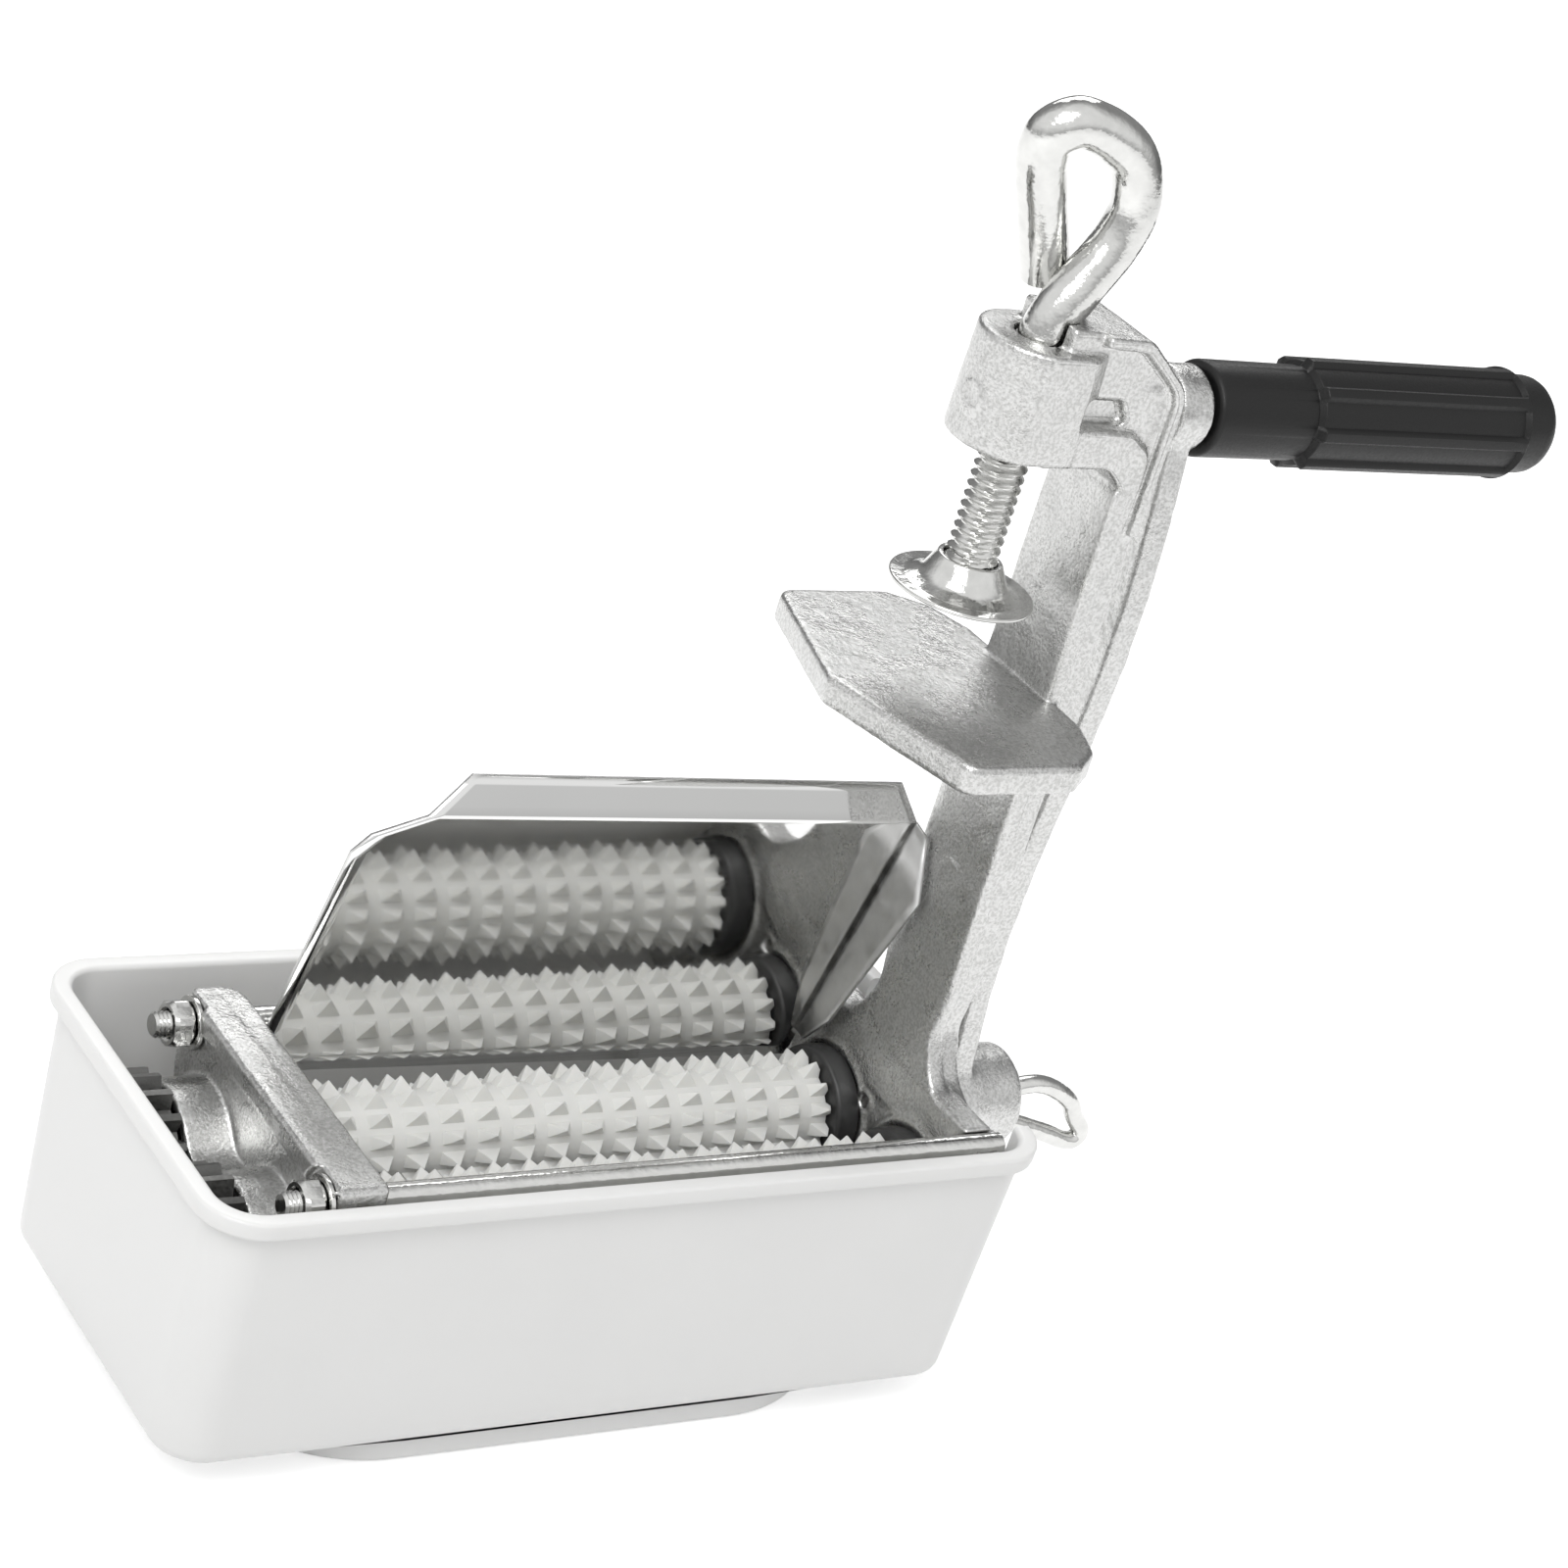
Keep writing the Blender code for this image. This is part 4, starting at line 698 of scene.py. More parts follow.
def make_tie_rods():
    """Threaded ends on plain rods, chamfered hexagon nuts and thin washers."""
    for name, y in zip(("front", "rear"), ROD_YS):
        low, high = span("tie_rod_" + name)
        radius, pitch, depth = 3.0, 1.0, 0.45
        threaded = low[0] + 9.0
        profile = [(low[0], 0, 0), (low[0], radius - 0.6, 0), (low[0] + 0.6, radius, 0)]
        x = low[0] + 0.6
        while x < threaded:
            profile += [(x + pitch / 2, radius - depth, 0), (x + pitch, radius, 0)]
            x += pitch
        profile += [(high[0] - 0.4, radius, 0), (high[0], radius - 0.4, 0), (high[0], 0, 0)]
        rod = lathe("tie_rod_%s_threaded" % name, profile, "X", (y, ROD_Z), 36, sharp=25)
        hand_over(rod, "crusher", "plated_steel", PLATED, "tie_rod_" + name)
        low, high = span("tie_nut_" + name)
        across, hole = 5.0, radius + 0.3
        angle = (np.arange(72) + 0.5) * 2 * pi / 72
        hexagon = across / np.cos((angle + pi / 6) % (pi / 3) - pi / 6)
        rows = []
        cones = (0, 0.93), (0.15, 0.97), (0.9, 1.16)
        for x, cone in [(low[0] + inset, across * share) for inset, share in cones] + \
                [(high[0] - inset, across * share) for inset, share in cones[::-1]]:
            reach = np.minimum(hexagon, cone)
            rows.append(place("X", x, y + reach * np.cos(angle), ROD_Z + reach * np.sin(angle)))
        for x, reach in ((high[0], hole + 0.5), (high[0] - 0.5, hole),
                         (low[0] + 0.5, hole), (low[0], hole + 0.5)):
            rows.append(place("X", x, y + reach * np.cos(angle), ROD_Z + reach * np.sin(angle)))
        faces = grid_faces(len(rows), 72, wrap_rows=True)
        nut = build("tie_nut_%s_hexagon" % name, [(np.stack(rows), faces)], 20)
        hand_over(nut, "crusher", "plated_steel", PLATED, "tie_nut_" + name)
        low, high = span("tie_washer_" + name)
        profile = [(low[0], hole, 0), (low[0], 6.2, 0.25), (high[0], 6.2, 0.1), (high[0], hole, 0)]
        washer = lathe("tie_washer_%s_stamped" % name, profile, "X", (y, ROD_Z), 48, ring=True)
        hand_over(washer, "crusher", "plated_steel", PLATED, "tie_washer_" + name)


# ---------------------------------------------------------------- castings

def make_main_frame():
    """Plate, leg, jaw, arm and screw boss in one casting, flowing into each other with fillets."""
    face, lower = PLATE_FACE, PLATE_FACE + 8.0
    cast = Casting(FRAME_LOW, FRAME_HIGH, 0.72)
    plate_top, plate_half = ROD_Z + 3.3, (ROD_YS[1] - ROD_YS[0]) / 2 + 4.0
    floor = FRAME_LOW[2]
    cast.prism("X", mirrored([
        (plate_half, plate_top, 5), (plate_half, AXIS_Z + 10, 6), (33.4, floor + 20, 6), (31.4, floor, 1.5),
        (18.6, floor, 1.5), (15.6, floor + 17, 6)], CRUSHER_Y), face, lower, 1.1)
    skin = mirrored([
        (12.5, ARM_BOTTOM - 5, 1), (13.6, 100, 30), (11.6, 86, 10), (17, 75, 14),
        (30, 71, 3), (30, 62, 3)], LEG_Y, 8)
    cast.prism("X", skin, face, face + 4.6, 1.0, 2.0)
    core = mirrored([
        (10.2, ARM_TOP - 12, 1), (11.6, 100, 30), (9.4, 86, 10), (14.5, 75, 14),
        (24, 71, 3), (24, 62, 3)], LEG_Y, 8)
    cast.prism("X", core, face + 1, face + 11, 1.4, 2.5)
    hollow = mirrored([(8.2, ARM_BOTTOM - 8, 3), (8.2, 92, 3)], LEG_Y)
    cast.prism("X", hollow, face + 6.5, face + 18, 1.5, 1.5, True, -0.06)
    for y, reach in ((DRIVE_Y, 18), (IDLER_Y, 7)):
        cast.cylinder("X", (y, AXIS_Z), 13.0, lower - 4, lower + reach, 1.2, 3.0, draft=0.02)
    for side, y in zip((1, -1), ROD_YS):
        cast.cylinder("X", (y + side * 3, ROD_Z - 5), 6.0, lower - 4, lower + 3.5, 1.0, 3.0)
    front = face - 52.0
    far = [(front, 0, 0), (front + 12, 42, 4.5), (face - 10, 42, 4.0), (face - 1.5, 35, 3.5),
           (face + 3, 23, 1), (face + 3, 0, 0)]
    near = [(x, -y, r) for x, y, r in reversed(far) if y]
    jaw = arc_corners([(x, LEG_Y + y, r) for x, y, r in far + near], 10)
    cast.prism("Z", jaw, JAW_TOP - 7, JAW_TOP, 1.3, 1.2)
    flush, set_back = 12.5, 10.2  # from the leg's middle to the shelf's face and to the arm's
    inner = [(CLAMP_X, ARM_BOTTOM, 0), (face - 4, ARM_BOTTOM, 5), (face + 2, ARM_BOTTOM - 6, 4)]
    outer = [(face + 10, ARM_BOTTOM - 16, 0), (face + 10.6, ARM_TOP - 12, 9), (CLAMP_X + 20, ARM_TOP - 0.4, 4)]
    web = arc_corners(inner + [(face + 2, ARM_BOTTOM - 16, 0)] + outer + [
        (CLAMP_X + 4, ARM_TOP, 0), (CLAMP_X, ARM_TOP, 0)], 8)
    cast.prism("Y", web, LEG_Y - set_back, LEG_Y + set_back, 1.2, 2.0)
    for side in (-1, 1):
        mid = LEG_Y + side * (set_back + flush) / 2
        rim = arc_corners([
            (CLAMP_X + 8, ARM_TOP - 2.6, 0), (CLAMP_X + 19.4, ARM_TOP - 3.2, 4), (face + 8.2, ARM_TOP - 13, 8),
            (face + 7.6, ARM_BOTTOM - 16, 0)] + outer + [(CLAMP_X + 8, ARM_TOP, 0)], 8)
        cast.prism("Y", rim, mid - 1.6, mid + 1.6, 0.7, 1.2)
        shelf = arc_corners(inner + [
            (face + 2, ARM_BOTTOM - 24, 0), (face + 5.4, ARM_BOTTOM - 24, 0), (face + 6.6, ARM_BOTTOM + 3.5, 6),
            (face - 0.5, ARM_BOTTOM + 8.6, 2), (CLAMP_X, ARM_BOTTOM + 9.6, 0)], 8)
        near, deep = sorted((LEG_Y + side * flush, LEG_Y + side * (flush - 3)))
        cast.prism("Y", shelf, near, deep, 0.7, 0.8)
    cast.cylinder("Z", (CLAMP_X, LEG_Y), 15.1, ARM_BOTTOM + 0.6, HEAD_TOP, 1.0, 1.6, draft=0.026)
    for side in (-1, 1):
        pocket = arc_corners([
            (CLAMP_X + 7.0, ARM_BOTTOM + 9.6, 1), (face - 1, ARM_BOTTOM + 9.6, 1.5),
            (face - 4.5, ARM_BOTTOM + 15.5, 1.2), (CLAMP_X + 7.0, ARM_BOTTOM + 15.5, 1.2)], 12)
        mid = LEG_Y + side * (set_back + 3)
        cast.prism("Y", pocket, mid - 6, mid + 6, 1.2, 0.8, True)
        shave = LEG_Y + side * (flush + 6.6)
        cast.prism("Y", arc_corners([
            (CLAMP_X - 20, ARM_BOTTOM - 3, 0), (face - 12, ARM_BOTTOM - 3, 0), (face - 12, HEAD_TOP + 4, 0),
            (CLAMP_X - 20, HEAD_TOP + 4, 0)], 8), shave - 5.5, shave + 5.5, 0.3, 0.8, True)
    for y in (DRIVE_Y, IDLER_Y):
        cast.bead("X", (y, AXIS_Z), 16.6, face + 0.1, 1.0, 1.6)
    cast.bead("X", (LEG_Y - 0.4, JAW_TOP - 52.9), 3.6, face + 0.25, 0.5, 0.6)
    cast.bead("X", (LEG_Y + 2.3, AXIS_Z + 10.2), 2.3, face, 0.6, 0.8)
    for offset, z, size in ((6, 213, 2.0), (-2, 205, 1.6), (3, 199, 1.5), (-5, 216, 1.2), (1, 187, 1.6),
                            (-4, 195, 1.2)):
        cast.bead("X", (LEG_Y + offset, z), 0.8 * size, face + 0.3, 0.45, 0.8)
    cast.bead("X", (LEG_Y - 0.6, ARM_BOTTOM + 11.0), 3.2, CLAMP_X - 14.6, 0.5, 0.6)
    cast.roughen(0.07, 2.2, 5)
    cast.roughen(0.06, 7.5, 9)
    for y, depth in ((DRIVE_Y, 12), (IDLER_Y, 4.5)):
        cast.cylinder("X", (y, AXIS_Z), 9.3, face - 8, lower + depth, 0.2, 0.4, True)
    cast.cylinder("X", (DRIVE_Y, AXIS_Z), 5.9, lower, lower + 30, 0.2, 0.6, True)
    for y in ROD_YS:
        cast.cylinder("X", (y, ROD_Z), 3.3, face - 8, lower + 2, 0.2, 0.4, True)
    cast.cylinder("X", (LEG_Y + 2.3, AXIS_Z + 10.2), 1.7, face - 6, face + 3.5, 0.2, 0.5, True)
    cast.cylinder("Z", (CLAMP_X, LEG_Y), 6.5, ARM_BOTTOM - 8, HEAD_TOP + 8, 0.2, 0.6, True)
    obj = cast.piece("main_casting")
    hand_over(obj, "crusher", "casting", CAST, "main_frame")


def figure_eight(radius, fillet):
    """Two circles on the roller axes, joined by fillets in the two valleys between them."""
    half = (DRIVE_Y - IDLER_Y) / 2
    reach = sqrt((radius + fillet) ** 2 - half ** 2)
    lean = atan2(reach, half)

    def arc(y, z, size, start, stop, count):
        angle = np.linspace(start, stop, count, endpoint=False)
        return np.stack([y + size * np.cos(angle), z + size * np.sin(angle)], -1)

    return np.concatenate([
        arc(DRIVE_Y, AXIS_Z, radius, lean - pi, pi - lean, 44),
        arc(CRUSHER_Y, AXIS_Z + reach, fillet, -lean, lean - pi, 10),
        arc(IDLER_Y, AXIS_Z, radius, lean, 2 * pi - lean, 44),
        arc(CRUSHER_Y, AXIS_Z - reach, fillet, pi - lean, lean, 10)])


BAR_WIDTH = 13.5


def make_left_plate():
    """A web with a heavy top bar, a figure-of-eight gear housing, spot-faced ears and one foot."""
    low, high = span("left_end_plate")
    web_left, web_right = BAR_LEFT + 1.5, BAR_LEFT + 7.5
    half = (high[1] - low[1]) / 2
    cast = Casting(low, high, 0.5)
    cast.prism("X", mirrored([
        (half, high[2], 7), (half, high[2] - 15, 7), (half - 6, AXIS_Z - 8, 12), (half - 14, AXIS_Z - 24, 10),
        (8, AXIS_Z - 28, 4), (7.5, low[2], 1.5)], CRUSHER_Y, 8), web_left, web_right, 1.0)
    y0, y1 = CRUSHER_Y - half, CRUSHER_Y + half
    bar = arc_corners([(y0, high[2] - 5.5, 1), (y1, high[2] - 5.5, 2), (y1, high[2], 2), (y0, high[2], 1.5)], 8)
    cast.prism("X", bar, BAR_LEFT, BAR_LEFT + BAR_WIDTH, 1.1, 1.2)
    x0, x1, corner_start, past = BAR_LEFT, BAR_LEFT + BAR_WIDTH, y1 - 7, 3
    corner = arc_corners([
        (x0 - past, corner_start, 0), (x0 - past, y1 + past, 0), (x1 + past, y1 + past, 0),
        (x1 + past, corner_start, 0), (x1, corner_start, 0), (x1, y1, 6), (x0, y1, 6),
        (x0, corner_start, 0)], 10)
    cast.prism("Z", corner, high[2] - 16, high[2] + 4, 0.1, 0.8, True)
    cast.prism("X", figure_eight(17.0, 8.5), low[0], web_left + 2, 0.8, 2.5)
    cast.prism("X", figure_eight(14.5, 11.0), low[0] - 8, web_left - 0.5, 0.3, 0.8, True)
    cast.roughen(0.08, 2.6, 3)
    cast.roughen(0.10, 6.0, 4)
    for y in ROD_YS:
        cast.cylinder("X", (y, ROD_Z), 7.3, BAR_LEFT - 8, web_left, 0.2, 0.5, True)
        cast.cylinder("X", (y, ROD_Z), 3.3, BAR_LEFT - 8, BAR_LEFT + 18, 0.2, 0.3, True)
    for y in (DRIVE_Y, IDLER_Y):
        cast.cylinder("X", (y, AXIS_Z), 9.3, low[0] - 8, web_right + 8, 0.2, 0.4, True)
    obj = cast.piece("left_plate_casting")
    hand_over(obj, "crusher", "casting", CAST, "left_end_plate")


def make_crank():
    """A bowed flat arm between a round hub and a small eye, all one rough casting.

    The arm's middle line follows a full sine wave over its length, which dies away toward the eye.
    """
    low, high = span("crank_arm")
    cast = Casting(low, high, 0.5)
    throw = GRIP_Z - AXIS_Z
    share = np.linspace(0, 1, 40)
    width = 19.0 * (1.05 - 0.25 * share) / 2
    middle_y = DRIVE_Y + 4.5 * np.sin(2 * pi * share) * (1 - 0.25 * share)
    z = AXIS_Z + throw * share
    outline = np.concatenate([np.stack([middle_y + width, z], -1), np.stack([middle_y - width, z], -1)[::-1]])
    cast.prism("X", outline, ARM_FACE, ARM_FACE + 7, 1.6)
    cast.cylinder("X", (DRIVE_Y, AXIS_Z), 13.5, ARM_FACE - 1.5, HUB_FACE, 2.0, 3.0, draft=0.03)
    cast.cylinder("X", (DRIVE_Y, GRIP_Z), 10.0, ARM_FACE - 0.5, ARM_FACE + 9, 1.0, 2.0)
    cast.roughen(0.10, 2.6, 13)
    cast.roughen(0.14, 6.0, 14)
    cast.cylinder("X", (DRIVE_Y, AXIS_Z), 5.3, ARM_FACE - 8, HUB_FACE + 8, 0.2, 0.4, True)
    cast.cylinder("X", (DRIVE_Y, GRIP_Z), 4.8, ARM_FACE - 8, ARM_FACE + 16, 0.2, 0.4, True)
    obj = cast.piece("crank_casting")
    hand_over(obj, "drive_train", "casting", CAST, "crank_arm")


# ---------------------------------------------------------------- the guard

GUARD_LEAN, GUARD_TILT, SHEET = radians(12.25), radians(2.4), 1.0
FLANGE_HEIGHT, FLANGE_BEND, FLANGE_RAKES = 9.5, radians(31), (10.0, 6.0)
CORNER_CUT, CORNER_DROP = 15.0, 7.0  # of the panel's top left corner
BUSH_FLANGE_RADIUS = 15.2


def make_guard():
    """One sheet: a panel, a top flange bent backward, a lower strip bent a little and a wing.

    Points are (along, rise, forward) on the sheet with no tilt: rise runs up the panel and forward
    stands square to it. A bend is an arc between two straight runs.
    """
    left, right = ROLLER_LOW[0], PLATE_FACE - 3.0
    bottom, fold = AXIS_Z + 8.9, AXIS_Z + 83.5
    mid_x, mid_z = (left + right) / 2, (bottom + fold) / 2
    offset = BUSH_FLANGE_RADIUS + 0.35 + SHEET / 2
    half_rise = (fold - bottom) / 2 / cos(GUARD_LEAN)

    def to_world(along, rise, forward):
        turned = rise * cos(GUARD_TILT) - along * sin(GUARD_TILT)
        z = mid_z + turned * cos(GUARD_LEAN)
        y = DRIVE_Y + offset / cos(GUARD_LEAN) - (z - AXIS_Z) * tan(GUARD_LEAN)
        x = mid_x + along * cos(GUARD_TILT) + rise * sin(GUARD_TILT)
        y, z = y - forward * cos(GUARD_LEAN), z - forward * sin(GUARD_LEAN)
        return np.stack(np.broadcast_arrays(x, y, z), -1)

    bend, radius = FLANGE_BEND, 1.6
    edge = (right - left) / 2
    start = half_rise - radius * tan(bend / 2)
    angles = np.linspace(0, bend, 7)
    above = np.linspace(0, 1, 5)[1:]
    rises = np.concatenate([
        np.linspace(-half_rise, start, 16)[:-1], start + radius * np.sin(angles),
        half_rise + above * FLANGE_HEIGHT * cos(bend)])
    forwards = np.concatenate([
        np.zeros(15), -radius * (1 - np.cos(angles)), -above * FLANGE_HEIGHT * sin(bend)])
    share = np.linspace(0, 1, 41)
    grid = []
    for rise, forward in zip(rises, forwards):
        over = np.clip((rise - half_rise) / (FLANGE_HEIGHT * cos(bend)), 0, 1)
        corner = np.clip((rise - half_rise + CORNER_DROP) / CORNER_DROP, 0, 1)
        first = -edge + CORNER_CUT * corner + FLANGE_RAKES[0] * over
        last = edge - FLANGE_RAKES[1] * over
        along = first + (last - first) * share
        crease = -half_rise + 11.0 - (along + edge) * 0.058  # the lower strip's slanting crease
        bow = np.maximum(crease - rise, 0) * 0.07
        grid.append(to_world(along, rise, forward + bow))
    grid = np.stack(grid)
    panel = build("guard_panel", [(grid, grid_faces(len(grid), grid.shape[1], wrap_columns=False))])
    solidify = panel.modifiers.new("sheet", "SOLIDIFY")
    solidify.thickness, solidify.offset, solidify.use_even_offset = SHEET * MM, 0, True
    hand_over(panel, "crusher", "guard_steel", MIRROR, "guard_sheet")
    panel.data.materials.append(EDGE)
    solidify.material_offset_rim = 1
    start_rise, low, high = -half_rise + 8, -half_rise + 18 / cos(GUARD_LEAN), half_rise - 13.5
    rise = np.concatenate([[start_rise], np.linspace(low, high, 8), [half_rise]])
    reach = np.interp(rise, [start_rise, low, high, half_rise], [3.5, 8, 14, 6])
    across = np.linspace(0, 1, 7)
    wing = to_world(edge + 0 * across[None, :], rise[:, None], reach[:, None] * across[None, :])
    wing = build("guard_wing", [(wing, grid_faces(len(rise), len(across), wrap_columns=False))])
    solidify = wing.modifiers.new("sheet", "SOLIDIFY")
    solidify.thickness, solidify.offset = SHEET * MM, 0
    hand_over(wing, "crusher", "guard_steel", EDGE)


# ---------------------------------------------------------------- clamp screw, pad and thumb screw

def make_clamp_screw():
    """A screw whose upper end is bent into an eye.

    The thread's radius is a triangle wave of height plus angle, so that its ridge climbs one pitch a turn.
    """
    pitch, radius, depth, rod_radius = 2.5, 6.0, 1.15, 5.75
    low = PAD_HIGH[2] - 6.0
    count, steps = 40, 8
    z = np.arange(low, HEAD_TOP - 1.0, pitch / steps)
    angle = np.arange(count) * 2 * pi / count
    phase = ((z[:, None] / pitch - angle / (2 * pi)) % 1)
    wave = np.abs(phase - 0.5) * 2
    ease = np.clip((z[:, None] - low) / 2.0, 0, 1) * np.clip((HEAD_TOP - 2 - z[:, None]) / 3.0, 0, 1)
    ridge = radius - depth * np.clip(wave * 1.35 - 0.12, 0, 1) * ease
    thread = place("Z", z[:, None], CLAMP_X + ridge * np.cos(angle), LEG_Y + ridge * np.sin(angle))
    knots = [  # offsets from the head's top: out of the bore, up the right side, over, and down behind the neck
        (0, 0, -6), (0, 0, -2), (0.3, 0, 1.5), (2.4, 0, 6.7), (7.1, 0, 14.6), (11.0, 0, 21.7),
        (13.0, 0, 29.6), (11.7, 0.6, 36.4), (8.4, 1.0, 41.4), (3.0, 1.6, 44.7), (-2.2, 2.3, 46.4),
        (-7.2, 3.0, 46.7), (-11.0, 4.6, 43.5), (-10.9, 6.0, 39.2), (-9.0, 7.0, 34.2), (-3.3, 8.8, 23.5),
        (3.9, 10.8, 10.0)]
    path = smooth_path([(CLAMP_X + x, LEG_Y + y, HEAD_TOP + z) for x, y, z in knots], 170)
    rng = np.random.default_rng(8)
    wander = np.interp(np.arange(170), np.arange(0, 180, 6), rng.uniform(-0.20, 0.0, 30))
    eye = swept(path, rod_radius + wander, (0, 1, 0), 36)
    body = build("clamp_screw_threaded", [capped(thread), capped(eye)], 40)
    hand_over(body, "screw", "plated_steel", PLATED, "clamp_screw")


def make_pad():
    """A pressed cup: a flat rim, a hollow cone and a short hub round the screw."""
    rim = JAW_TOP + 23.0
    bore = 6.3
    profile = [(PAD_LOW[2], 0, 0), (PAD_LOW[2], 11.5, 3), (rim - 1.0, 16.8, 0.5), (rim, 16.8, 0.5),
               (rim, 13.4, 0.8), (rim + 1.8, 10.0, 3), (PAD_HIGH[2], 7.4, 0.6), (PAD_HIGH[2], bore, 0.2),
               (rim + 0.4, bore, 0), (rim + 0.4, 0, 0)]
    pad = lathe("clamp_pad_pressed", profile, "Z", (CLAMP_X, LEG_Y), 84, sharp=50)
    hand_over(pad, "pad", "plated_steel", PLATED, "clamp_pad")


def make_thumb_screw():
    """A wire bent into a long eye beyond its straight stem, and a thin washer."""
    low, high = span("thumb_screw")
    end, tip, radius = HUB_FACE + 0.3, high[0] - 2.5, 2.45
    knots = [(low[0], 0), (end - 4, 0), (end + 3, 0), (end + 8, 1.4), (end + 14, 1.4), (end + 20, -0.8),
             (end + 26, -4.8), (tip - 4.2, -9.2), (tip - 0.7, -13.2), (tip - 0.5, -15.6), (tip - 2.4, -16.9),
             (tip - 6, -16.3), (end + 22, -14.2), (end + 14, -11.4), (end + 6, -8.8)]
    path = smooth_path([(x, DRIVE_Y, AXIS_Z + z) for x, z in knots], 110)
    loop = build("thumb_screw_wire", [capped(swept(path, radius, (0, 1, 0), 24))], 50)
    hand_over(loop, "thumb", "plated_steel", PLATED, "thumb_screw")
    low, high = span("thumb_washer")
    profile = [(low[0], 2.8, 0.2), (low[0], 7.5, 0.4), (high[0], 7.5, 0.4), (high[0], 2.8, 0.2)]
    washer = lathe("thumb_washer_stamped", profile, "X", (DRIVE_Y, AXIS_Z), 48, ring=True)
    hand_over(washer, "thumb_collar", "plated_steel", PLATED, "thumb_washer")


# ---------------------------------------------------------------- the grip

def make_grip():
    """A turned body with a plain neck; eight lengthways ribs stand proud of the body."""
    start, end = GRIP_LOW[0], GRIP_HIGH[0]
    neck = start + 32.0
    cap = end - 12.5
    bore = 4.8

    def ribs(along, angle):
        wave = np.cos(8 * angle)
        rib = np.clip((wave - 0.45) / 0.2, 0, 1)
        inside = np.clip((along - neck + 3) / 1.0, 0, 1) * np.clip((cap - along) / 1.0, 0, 1)
        return -1.3 * (1 - rib) * inside

    profile = [(start + 12, 0, 0), (start + 12, bore, 0), (start + 3, bore, 0), (start + 3, bore + 3.0, 0.4),
               (start, bore + 3.0, 0.5), (start, 11.3, 1.4), (neck - 2.6, 11.3, 0.5), (neck - 1.4, 13.7, 0.5)]
    profile += [(x, 13.7, 0) for x in np.linspace(neck, cap - 1, 14)]
    profile += [(cap, 13.7, 0.4), (cap + 0.8, 12.1, 0.4), (end, 11.9, 5.0), (end, 0, 0)]
    grip = lathe("grip_ribbed", profile, "X", (DRIVE_Y, GRIP_Z), 160, flute=ribs, sharp=35)
    hand_over(grip, "hand_grip", "grip_plastic", GRIP, "grip")


# ---------------------------------------------------------------- nodes kept as they are

def dress_kept_nodes():
    """The nodes that show as they are get their finishes."""
    finishes = {
        "drive_gear": GEAR, "idler_gear": GEAR, "drive_gear_clip": PLATED, "idler_gear_clip": PLATED,
        "guard_clip_left": EDGE, "guard_clip_right": EDGE, "handle_spindle": PLATED,
    }
    for name, material in finishes.items():
        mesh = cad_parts[name].data
        mesh.materials.clear()
        mesh.materials.append(material)


# ---------------------------------------------------------------- stage, lights and camera

def make_floor():
    """A plain pale floor that glows a little for the camera, so that it meets the white background."""
    mesh = bpy.data.meshes.new("floor")
    reach, drop = 4000.0, -0.05
    corners = [(-reach, -reach, drop), (reach, -reach, drop), (reach, reach, drop), (-reach, reach, drop)]
    fill_mesh(mesh, corners, [(0, 1, 2, 3)])
    floor = finish_piece("floor", mesh)
    material = bpy.data.materials.new("matt_white_paper")
    material.use_nodes = True
    tree = material.node_tree
    tree.nodes.clear()
    matt = node(tree, "ShaderNodeBsdfDiffuse", {"Color": linear("#e4e4e4")})
    glow = node(tree, "ShaderNodeEmission", {"Color": (1, 1, 1, 1), "Strength": 0.55})
    both = node(tree, "ShaderNodeAddShader", {0: matt.outputs[0], 1: glow.outputs[0]})
    path = node(tree, "ShaderNodeLightPath")
    seen = combine(tree, "MAXIMUM", path.outputs["Is Camera Ray"], path.outputs["Is Transmission Ray"])
    seen = combine(tree, "MAXIMUM", seen, path.outputs["Is Glossy Ray"])
    mix = node(tree, "ShaderNodeMixShader", {0: seen, 1: matt.outputs[0], 2: both.outputs[0]})
    node(tree, "ShaderNodeOutputMaterial", {"Surface": mix.outputs[0]})
    mesh.materials.append(material)


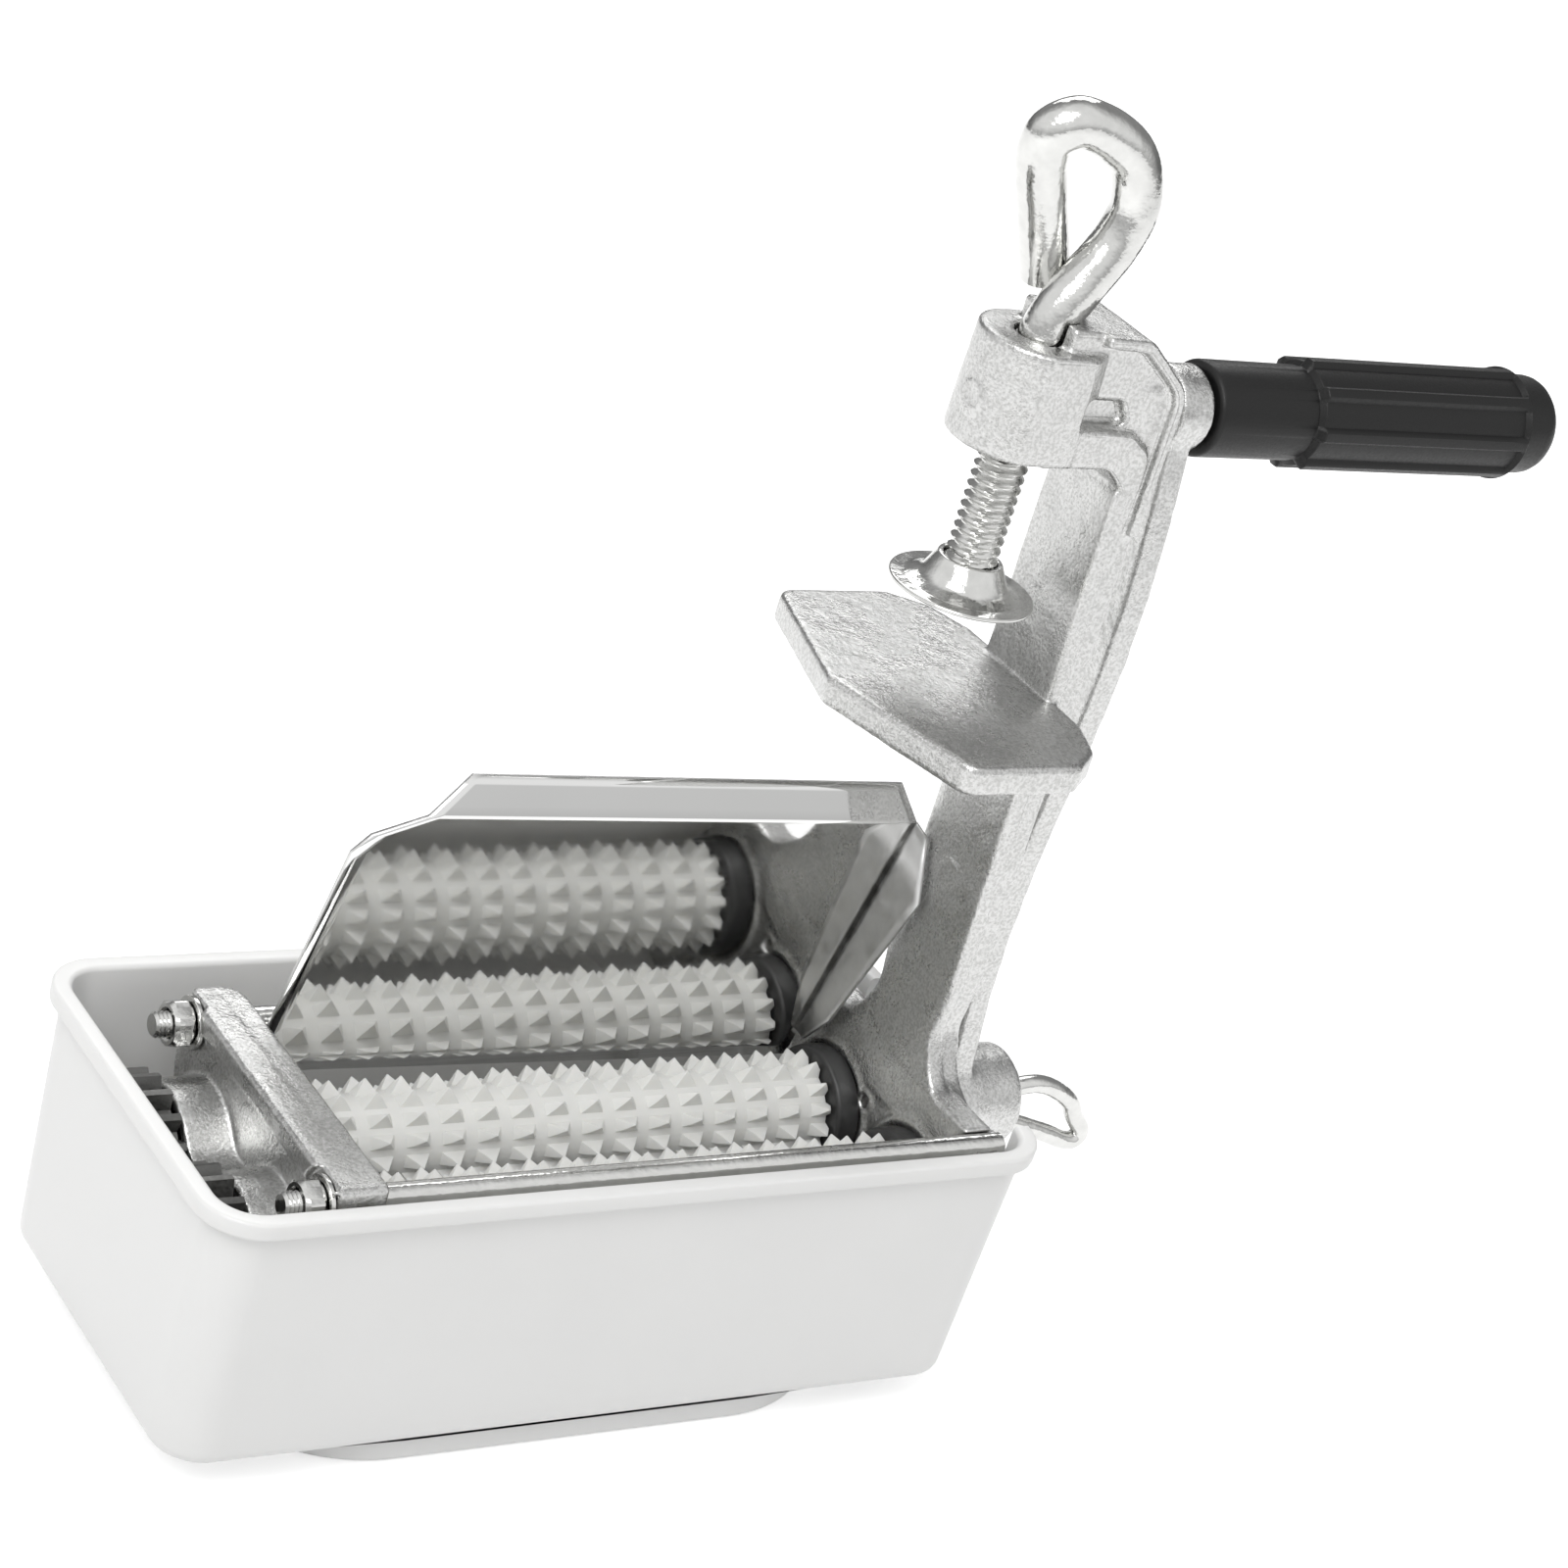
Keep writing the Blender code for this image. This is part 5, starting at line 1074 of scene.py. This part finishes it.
def make_world():
    """A white room: soft light for matt surfaces, white where it is seen.

    In reflections it dims a little toward the horizon and toward the far right, as a room does.
    """
    world = bpy.data.worlds.new("white_room")
    bpy.context.scene.world = world
    world.use_nodes = True
    tree = world.node_tree
    tree.nodes.clear()
    path = node(tree, "ShaderNodeLightPath")
    seen = combine(tree, "MAXIMUM", path.outputs["Is Camera Ray"], path.outputs["Is Transmission Ray"])
    direction = node(tree, "ShaderNodeSeparateXYZ",
                     {"Vector": node(tree, "ShaderNodeTexCoord").outputs["Generated"]})
    low = ramp(tree, direction.outputs["Z"], -0.05, 0.30, 0.55, 1.0)
    away = combine(tree, "ADD", combine(tree, "MULTIPLY", direction.outputs["X"], 0.6),
                   combine(tree, "MULTIPLY", direction.outputs["Y"], 0.8))
    side = ramp(tree, away, -0.1, 0.6, 1.0, 0.30)
    mirrored_sky = combine(tree, "MULTIPLY", low, side)
    light = node(tree, "ShaderNodeBackground", {"Color": (1, 1, 1, 1), "Strength": 0.66})
    white = node(tree, "ShaderNodeBackground", {"Color": (1, 1, 1, 1), "Strength": 1.0})
    sky = node(tree, "ShaderNodeBackground", {"Color": (1, 1, 1, 1), "Strength": mirrored_sky})
    first = node(tree, "ShaderNodeMixShader",
                 {0: path.outputs["Is Glossy Ray"], 1: light.outputs[0], 2: sky.outputs[0]})
    mix = node(tree, "ShaderNodeMixShader", {0: seen, 1: first.outputs[0], 2: white.outputs[0]})
    node(tree, "ShaderNodeOutputWorld", {"Surface": mix.outputs[0]})


def make_lamp(name, at, target, size, power):
    lamp = bpy.data.lights.new(name, "AREA")
    lamp.shape, lamp.size, lamp.size_y, lamp.energy = "RECTANGLE", size[0], size[1], power
    obj = bpy.data.objects.new(name, lamp)
    bpy.context.scene.collection.objects.link(obj)
    obj.location = at
    obj.rotation_euler = (Vector(target) - Vector(at)).to_track_quat("-Z", "Y").to_euler()


def make_camera():
    """Stands high on the near left and looks down the rollers, rolled a little to the right."""
    at = Vector((-0.46817, -0.63078, 0.51875))
    look = Vector((0.56798, 0.70844, -0.41893)).normalized()
    roll = radians(17.46)
    level = look.cross(Vector((0, 0, 1))).normalized()
    rise = level.cross(look)
    right = level * cos(roll) + rise * sin(roll)
    up = rise * cos(roll) - level * sin(roll)
    camera = bpy.data.cameras.new("camera")
    camera.lens, camera.sensor_width = 91.41, 36.0
    camera.clip_start, camera.clip_end = 0.01, 20.0
    obj = bpy.data.objects.new("camera", camera)
    bpy.context.scene.collection.objects.link(obj)
    matrix = Matrix((right, up, -look)).transposed().to_4x4()
    matrix.translation = at
    obj.matrix_world = matrix
    bpy.context.scene.camera = obj
    bpy.context.scene.view_settings.view_transform = "Standard"


make_tub()
make_rollers()
make_shafts()
make_bushes()
make_tie_rods()
make_main_frame()
make_left_plate()
make_crank()
make_guard()
make_clamp_screw()
make_pad()
make_thumb_screw()
make_grip()
dress_kept_nodes()
make_floor()
make_world()
make_lamp("key", (-0.9, -0.7, 1.5), (0.05, 0, 0.1), (1.0, 1.0), 16.0)
make_lamp("back", (0.7, 1.2, 1.3), (0.05, 0, 0.1), (1.2, 0.8), 8.0)
make_camera()
